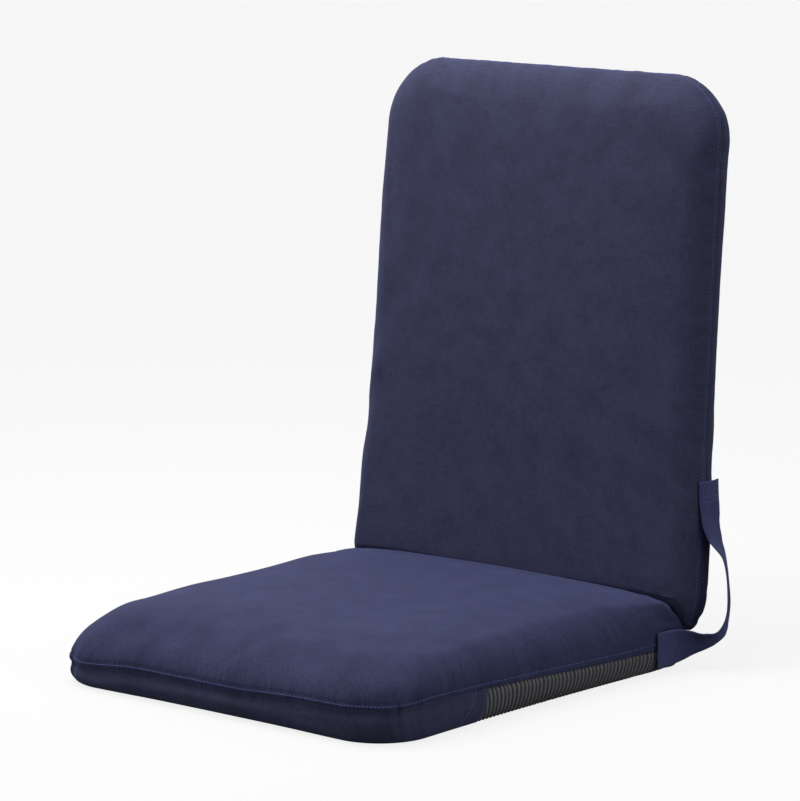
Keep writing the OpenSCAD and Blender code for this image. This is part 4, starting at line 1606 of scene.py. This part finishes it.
@dataclass
class BackCushion(Cushion):
    """The back: two navy panels joined in a seam round its edge.

    Its own frame lies in the hinge axis: Y runs up along the back, and a height
    is a distance towards the sitter.
    """

    rim: Rim = Rim(413.0, -43.5, 507.5, 58.0, 62.0)
    seed: float = 11.0
    gathers: Gathers = Gathers(height=0.8, at_corners=0.2)
    side_draw: float = 0.4
    # Distances of the seam and the two faces behind the hinge axis.
    seam_at: float = 19.0
    front: float = -13.5
    rear: float = 47.5
    edge_roll: float = 29.0
    low_roll_cut: float = 10.0
    high_roll_more: float = 12.0
    low_end: Pair = (60.0, 0.0)
    high_end: Pair = (430.0, 500.0)
    shoulder: float = 8.0
    rear_shoulder: float = 0.94
    crown_reach: float = 150.0
    # The cover sits a little to the sitter's left, narrows upwards, and slims at its top right.
    offset: float = 5.0
    wider: float = 0.012
    narrowing: float = 0.0155
    narrowing_from: float = 140.0
    slimmer: float = 4.0
    slim_run: Pair = (370.0, 460.0)
    slim_across: Pair = (0.0, -200.0)
    held_run: Pair = (210.0, 80.0)

    def upper(self, at: Vector, m: float, rim_at: Vector) -> float:
        """Distance of the front panel before the hinge axis, as a height.

        Args:
            at: place in the cushion's plane; not used.
            m: how far out it lies, from 0 in the middle to 1 on the rim.
            rim_at: the rim's point beyond it.

        Returns:
            The height.
        """
        low, high = between(rim_at.y, self.low_end), between(rim_at.y, self.high_end)
        roll = self.edge_roll - self.low_roll_cut * low + self.high_roll_more * high
        shoulder, crown = self.seam_at + self.shoulder, self.seam_at - self.front
        rise = rolled(self.inset(m, rim_at), roll, shoulder, crown, self.crown_reach)
        return -self.seam_at + rise

    def lower(self, at: Vector, m: float, rim_at: Vector) -> float:
        """Distance of the rear panel, as a height below the front's.

        Args:
            at: place in the cushion's plane; not used.
            m: how far out it lies, from 0 in the middle to 1 on the rim.
            rim_at: the rim's point beyond it.

        Returns:
            The height.
        """
        deep = self.rear - self.seam_at
        shoulder = self.rear_shoulder * deep
        inset = self.inset(m, rim_at)
        return -self.seam_at - rolled(inset, self.edge_roll, shoulder, deep, self.crown_reach)

    def place(self, at: Vector, height: float) -> Vector:
        """Leans the cushion on the hinge axis.

        Args:
            at: place in the cushion's plane.
            height: its height.

        Returns:
            The point in the part's frame.
        """
        rise = (at.y - self.narrowing_from) / (self.rim.width / 2)
        wide = 1 + self.wider - self.narrowing * rise
        slimmed = self.slimmer * between(at.y, self.slim_run) * between(at.x, self.slim_across)
        return CREASE.from_back(self.offset + at.x * wide + slimmed, -height, at.y)

    def pressed(self, at: Vector, height: float) -> Vector:
        """Keeps the back above the crease."""
        limit = -CREASE.back_limit(-height) - self.crease_gap
        return Vector((at.x, -soft_min(-at.y, limit, self.crease_soft)))

    def held(self, co: Vector) -> float:
        """Held along the crease."""
        return between(co.z, self.held_run)

    def build(self) -> None:
        """Builds the back's cover, panel by panel."""
        bm = self.sewn_cover()
        stitches = self.stitch_ring(bm)
        front = panel_piece(
            "back_front_panel", self.cut_panel(bm, Panel.TOP), NAVY, "back_cover_front",
        )
        rear = panel_piece(
            "back_rear_panel", self.cut_panel(bm, Panel.UNDERSIDE), NAVY, "back_cover_rear",
        )
        bm.free()
        sewn = Stitching().sew("back_topstitching", stitches, closed=True)
        for piece in (front, rear, sewn):
            CREASE.bend(piece)


@dataclass
class Gusset:
    """Cloth that closes the hinge below and behind, from the seat's underside to the back's rear.

    Its line is in the side view, and it is gathered into the notch at its two ends.
    """

    half_width: float = 203.0
    half_length: float = 50.0
    line: tuple[Pair, ...] = (
        (203.0, 1.5), (224.0, 4.5), (240.0, 14.0), (251.0, 31.0), (257.5, 50.0), (258.5, 66.0),
    )
    notch: Pair = (216.0, 36.0)
    end_power: int = 9
    inwards: float = 1.2
    wave_count: Pair = (9.0, 2.0)
    wave_seed: float = 5.0
    wave_height: float = 1.32
    lowest: float = 0.6
    gathered: float = 0.05
    rows: int = 20
    columns: int = 90

    def build(self) -> None:
        """Builds the gusset as one curved sheet, gathered in at its two ends."""
        bm = cloth_grid(self.columns, self.rows, self.half_width, self.half_length)
        notch = Vector(self.notch)
        for vert in bm.verts:
            u, t = vert.co.x, (vert.co.y + 1) / 2
            place = Vector((u * self.wave_count[0], t * self.wave_count[1], self.wave_seed))
            wave = self.wave_height * noise.noise(place) * math.sin(math.pi * t)
            near = (1 - abs(u) ** self.end_power) ** 0.5
            at = notch + (smooth_line(self.line, t) - notch) * near
            out = (at - notch).normalized() if near > self.gathered else Vector((0, 0))
            at -= out * (self.inwards + wave * near)
            vert.co = Vector((u * self.half_width, at.x, max(self.lowest, at.y)))
        bmesh.ops.recalc_face_normals(bm, faces=bm.faces)
        bm.normal_update()
        if sum(f.normal.y for f in bm.faces) < 0:
            bmesh.ops.reverse_faces(bm, faces=bm.faces)
        piece = panel_piece(
            "hinge_gusset_cloth", bm, NAVY, "hinge_gusset", levels=1,
        )
        CREASE.bend(piece)


@dataclass
class CarryStrap:
    """The navy carry strap: two layers of canvas sewn down to the back's and the seat's side.

    Each row of its route is a place and the way that its width lies there.
    """

    width: float = 35.0
    thickness: float = 2.0
    half_length: float = 112.0
    route: tuple[tuple[float, ...], ...] = (
        (215.8, 243, 176, -0.10, 0.99, -0.09), (216.0, 242, 152, -0.10, 0.98, -0.12),
        (217.0, 241.5, 136, -0.14, 0.97, -0.17), (221.5, 243, 120, -0.23, 0.95, -0.18),
        (231, 245, 101, -0.52, 0.83, -0.20), (239, 240, 74, -0.58, 0.79, -0.19),
        (243, 234, 53, -0.56, 0.80, -0.20), (241, 229, 36, -0.42, 0.86, -0.26),
        (232, 223, 28, -0.30, 0.84, -0.45), (220, 213, 24, -0.28, 0.64, -0.72),
        (211.5, 197, 22.5, -0.10, 0.25, -0.95), (210.5, 184, 22.5, -0.03, 0.05, -0.99),
        (210.5, 168, 22.5, -0.02, 0.02, -1.00),
    )
    step: float = 0.004
    belly: float = 1.2
    belly_waves: float = 7.0
    wrap: float = 3.0
    wrap_end: float = 0.14
    crinkle: float = 0.35
    crinkle_count: Pair = (2.2, 26.0)
    crinkle_seed: float = 4.0
    sewn_at: tuple[float, ...] = (0.055, 0.068, 0.945, 0.96)
    sewn_sides: tuple[float, ...] = tuple(k / 10 for k in range(-8, 9))
    pitch: float = 2.8
    stitch: float = 2.1
    slack_start: Triple = (0.0, 196.0, 24.0)
    slack_end: Triple = (0.0, 250.0, 140.0)
    columns: int = 10
    rows: int = 96

    def build(self) -> None:
        """Builds the strap and its stitches."""
        bm = cloth_grid(self.columns, self.rows, self.width / 2, self.half_length)
        for vert in bm.verts:
            vert.co, _ = self.surface(vert.co.x, (vert.co.y + 1) / 2)
        bm.normal_update()
        piece = finished("carry_strap_cloth", bm, STRAP_CLOTH)
        thicken(piece, self.thickness, levels=1, offset=0)
        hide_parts("carry_strap")
        self.bend(piece)
        sewing = Stitching(pitch=self.pitch, length=self.stitch)
        for i, t in enumerate(self.sewn_at):
            row = []
            for side in self.sewn_sides:
                at, face = self.surface(side, t)
                face = face if face.x > 0 else -face
                row.append((at + face * self.thickness / 2, face))
            self.bend(sewing.sew(f"strap_stitches_{i + 1}", row))

    def surface(self, side: float, t: float) -> tuple[Vector, Vector]:
        """Point of the strap's middle layer.

        Args:
            side: across the strap, from -1 to 1.
            t: from 0 at the back to 1 at the seat.

        Returns:
            The point, and the direction out of the strap.
        """
        spot, across, face = self.frame_at(t)
        bulge = (1 - side * side) * math.sin(math.pi * t) ** 2
        belly = self.belly * bulge * math.sin(self.belly_waves * t + 1)
        wrap = self.wrap * side * side * ease(1 - t / self.wrap_end)
        place = Vector((side * self.crinkle_count[0], t * self.crinkle_count[1], self.crinkle_seed))
        crinkle = self.crinkle * noise.noise(place)
        return spot + across * side * self.width / 2 + face * (belly + wrap + crinkle), face

    def bend(self, piece: Piece) -> None:
        """Lets the strap's slack turn between its two ends."""
        start, end = Vector(self.slack_start) * MM, Vector(self.slack_end) * MM
        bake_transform(piece, "seat", "back", start=start, end=end)

    def frame_at(self, t: float) -> tuple[Vector, Vector, Vector]:
        """Place and directions of the strap.

        Args:
            t: from 0 at the back to 1 at the seat.

        Returns:
            The middle of the strap, and the directions across and out of it.
        """
        here = smooth_line(self.route, t)
        ahead = smooth_line(self.route, min(1.0, t + self.step))
        behind = smooth_line(self.route, max(0.0, t - self.step))
        along = (Vector(ahead[:3]) - Vector(behind[:3])).normalized()
        across = Vector(here[3:6])
        across = (across - along * across.dot(along)).normalized()
        return Vector(here[:3]), across, across.cross(along)


@dataclass
class FoamPads:
    """The foam in the cushions, cut round the frame tubes."""

    seat: SeatCushion
    back: BackCushion
    weld: float = 0.01
    voxel: float = 4.0
    smoothing: int = 3
    allowance: float = 3.0

    def build(self) -> None:
        """Builds each pad from its solid, with the soft edges of cut foam."""
        for node, cushion in (
            ("seat_foam_upper", self.seat), ("seat_foam_lower", self.seat),
            ("back_foam_front", self.back), ("back_foam_rear", self.back),
        ):
            bm = bmesh.new()
            bm.from_mesh(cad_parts[node].data)
            bmesh.ops.remove_doubles(bm, verts=bm.verts, dist=self.weld * MM)
            bmesh.ops.scale(bm, vec=(1 / MM,) * 3, verts=bm.verts)
            pad = finished(node + "_pad", bm, FOAM)
            grown = pad.modifiers.new("even", "REMESH")
            grown.mode = "VOXEL"
            grown.voxel_size = self.voxel * MM
            soft = pad.modifiers.new("soft", "SMOOTH")
            soft.iterations = self.smoothing
            bake(pad)
            self.tuck(pad, cushion.cover)
            for polygon in pad.data.polygons:
                polygon.use_smooth = True
            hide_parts(node)
            CREASE.bend(pad)

    def tuck(self, pad: Piece, cover: BVHTree) -> None:
        """Presses a pad in wherever the sewn cover is tighter than it.

        Args:
            pad: the pad, moved in place.
            cover: surface of the cover, in millimetres.
        """
        for vert in pad.data.vertices:
            at = vert.co / MM
            touch, normal, _, _ = cover.find_nearest(at)
            if (at - touch).dot(normal) > -self.allowance:
                vert.co = (touch - normal * self.allowance) * MM


@dataclass
class HardParts:
    """Tubes, plates, arms, pawls, springs and rivets keep their CAD shapes and get a finish."""

    painted: tuple[str, ...] = (
        "seat_frame_tube", "seat_cross_tube", "back_frame_tube", "back_cross_tube",
    )

    def dress(self) -> None:
        """Gives every node that still shows its finish."""
        for name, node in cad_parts.items():
            if node.hide_render:
                continue
            finish, slot = (PAINT, Slot.TUBE) if name in self.painted else (ZINC, Slot.ZINC)
            node.data.materials.clear()
            node.data.materials.append(finish.material())
            LOG.info("finish of %s: %s", name, finish.name)


# ---- Studio ----


@dataclass(frozen=True)
class SoftLamp:
    """A square lamp: its place and the point that it faces in metres, its side and its watts."""

    name: str
    at: Triple
    aim: Triple
    size: float
    power: float


@dataclass
class Studio:
    """Pale floor, soft lamps and the camera of the photograph. Lengths are in metres."""

    lens: float = 188.56
    sensor: float = 36.0
    far: float = 200.0
    eye: Triple = (2.51722, -2.92068, 0.91059)
    look: Triple = (-0.63848, 0.75145, -0.16631)
    lamps: tuple[SoftLamp, ...] = (
        SoftLamp("overhead", (-0.35, -0.1, 1.4), (0.0, 0.14, 0.25), 1.0, 14.8),
        SoftLamp("front_left", (-2.0, -2.8, 2.0), (0.0, 0.1, 0.3), 1.6, 19.0),
        SoftLamp("right", (2.8, 0.1, 1.1), (0.0, 0.1, 0.2), 1.4, 14.0),
    )
    paper: str = "F7F7F7"
    lit_paper: str = "5E5E5E"
    paper_shown: float = 0.89
    room_light: float = 0.27
    floor_radius: float = 25.0
    floor_sides: int = 96

    def build(self) -> None:
        """Sets the colours' view, and builds floor, world, lamps and camera."""
        bpy.context.scene.view_settings.view_transform = "Standard"
        self.floor()
        self.world()
        for lamp in self.lamps:
            data = bpy.data.lights.new(lamp.name, "AREA")
            data.size = lamp.size
            data.energy = lamp.power
            self.put(data, lamp.at, Vector(lamp.aim) - Vector(lamp.at))
        data = bpy.data.cameras.new("camera")
        data.lens = self.lens
        data.sensor_width = self.sensor
        data.clip_end = self.far
        bpy.context.scene.camera = self.put(data, self.eye, Vector(self.look))

    def floor(self) -> None:
        """A wide disc, pale for the camera, that keeps the chair's shadow."""
        bm = bmesh.new()
        bmesh.ops.create_circle(
            bm, cap_ends=True, segments=self.floor_sides, radius=self.floor_radius,
        )
        made = bpy.data.materials.new("paper_floor")
        made.use_nodes = True
        tree = made.node_tree
        seen = add_node(tree, "ShaderNodeLightPath", {}).outputs["Is Camera Ray"]
        lit = add_node(
            tree, "ShaderNodeMath", {0: seen, 1: self.paper_shown}, operation="MULTIPLY",
        )
        feed(tree.nodes["Principled BSDF"], {
            "Base Color": linear(self.lit_paper), "Roughness": 0.9,
            "Emission Color": linear(self.paper), "Emission Strength": lit.outputs[0],
        })
        mesh = bpy.data.meshes.new("floor")
        bm.to_mesh(mesh)
        bm.free()
        floor = bpy.data.objects.new("floor", mesh)
        bpy.context.scene.collection.objects.link(floor)
        mesh.materials.append(made)

    def world(self) -> None:
        """Even pale surroundings, a little weaker as light than they look."""
        world = bpy.data.worlds.new("studio")
        world.use_nodes = True
        tree = world.node_tree
        tree.nodes.clear()
        path = add_node(tree, "ShaderNodeLightPath", {}).outputs
        seen = path["Is Camera Ray"]
        for ray in ("Is Glossy Ray", "Is Transmission Ray"):
            seen = add_node(
                tree, "ShaderNodeMath", {0: seen, 1: path[ray]}, operation="MAXIMUM",
            ).outputs[0]
        room = add_node(
            tree, "ShaderNodeBackground", {"Color": linear("FFFFFF"), "Strength": self.room_light},
        )
        shown = add_node(
            tree, "ShaderNodeBackground", {"Color": linear(self.paper), "Strength": 1.0},
        )
        either = add_node(
            tree, "ShaderNodeMixShader", {0: seen, 1: room.outputs[0], 2: shown.outputs[0]},
        )
        add_node(tree, "ShaderNodeOutputWorld", {"Surface": either.outputs[0]})
        bpy.context.scene.world = world

    def put(self, data: bpy.types.ID, at: Triple, way: Vector) -> Piece:
        """Adds a lamp or the camera.

        Args:
            data: the lamp or the camera.
            at: its place.
            way: the direction that it faces.

        Returns:
            Its object.
        """
        made = bpy.data.objects.new(data.name, data)
        made.location = at
        made.rotation_euler = way.to_track_quat("-Z", "Y").to_euler()
        bpy.context.scene.collection.objects.link(made)
        return made


def main() -> None:
    """Builds every piece in order."""
    logging.basicConfig(level=logging.INFO, format="%(asctime)s %(message)s")
    seat, back = SeatCushion(), BackCushion()
    for part in (seat, back, Gusset(), CarryStrap(), FoamPads(seat, back)):
        part.build()
        LOG.info("built %s", type(part).__name__)
    HardParts().dress()
    Studio().build()
    bpy.context.view_layer.update()


if __name__ == "__main__":
    main()
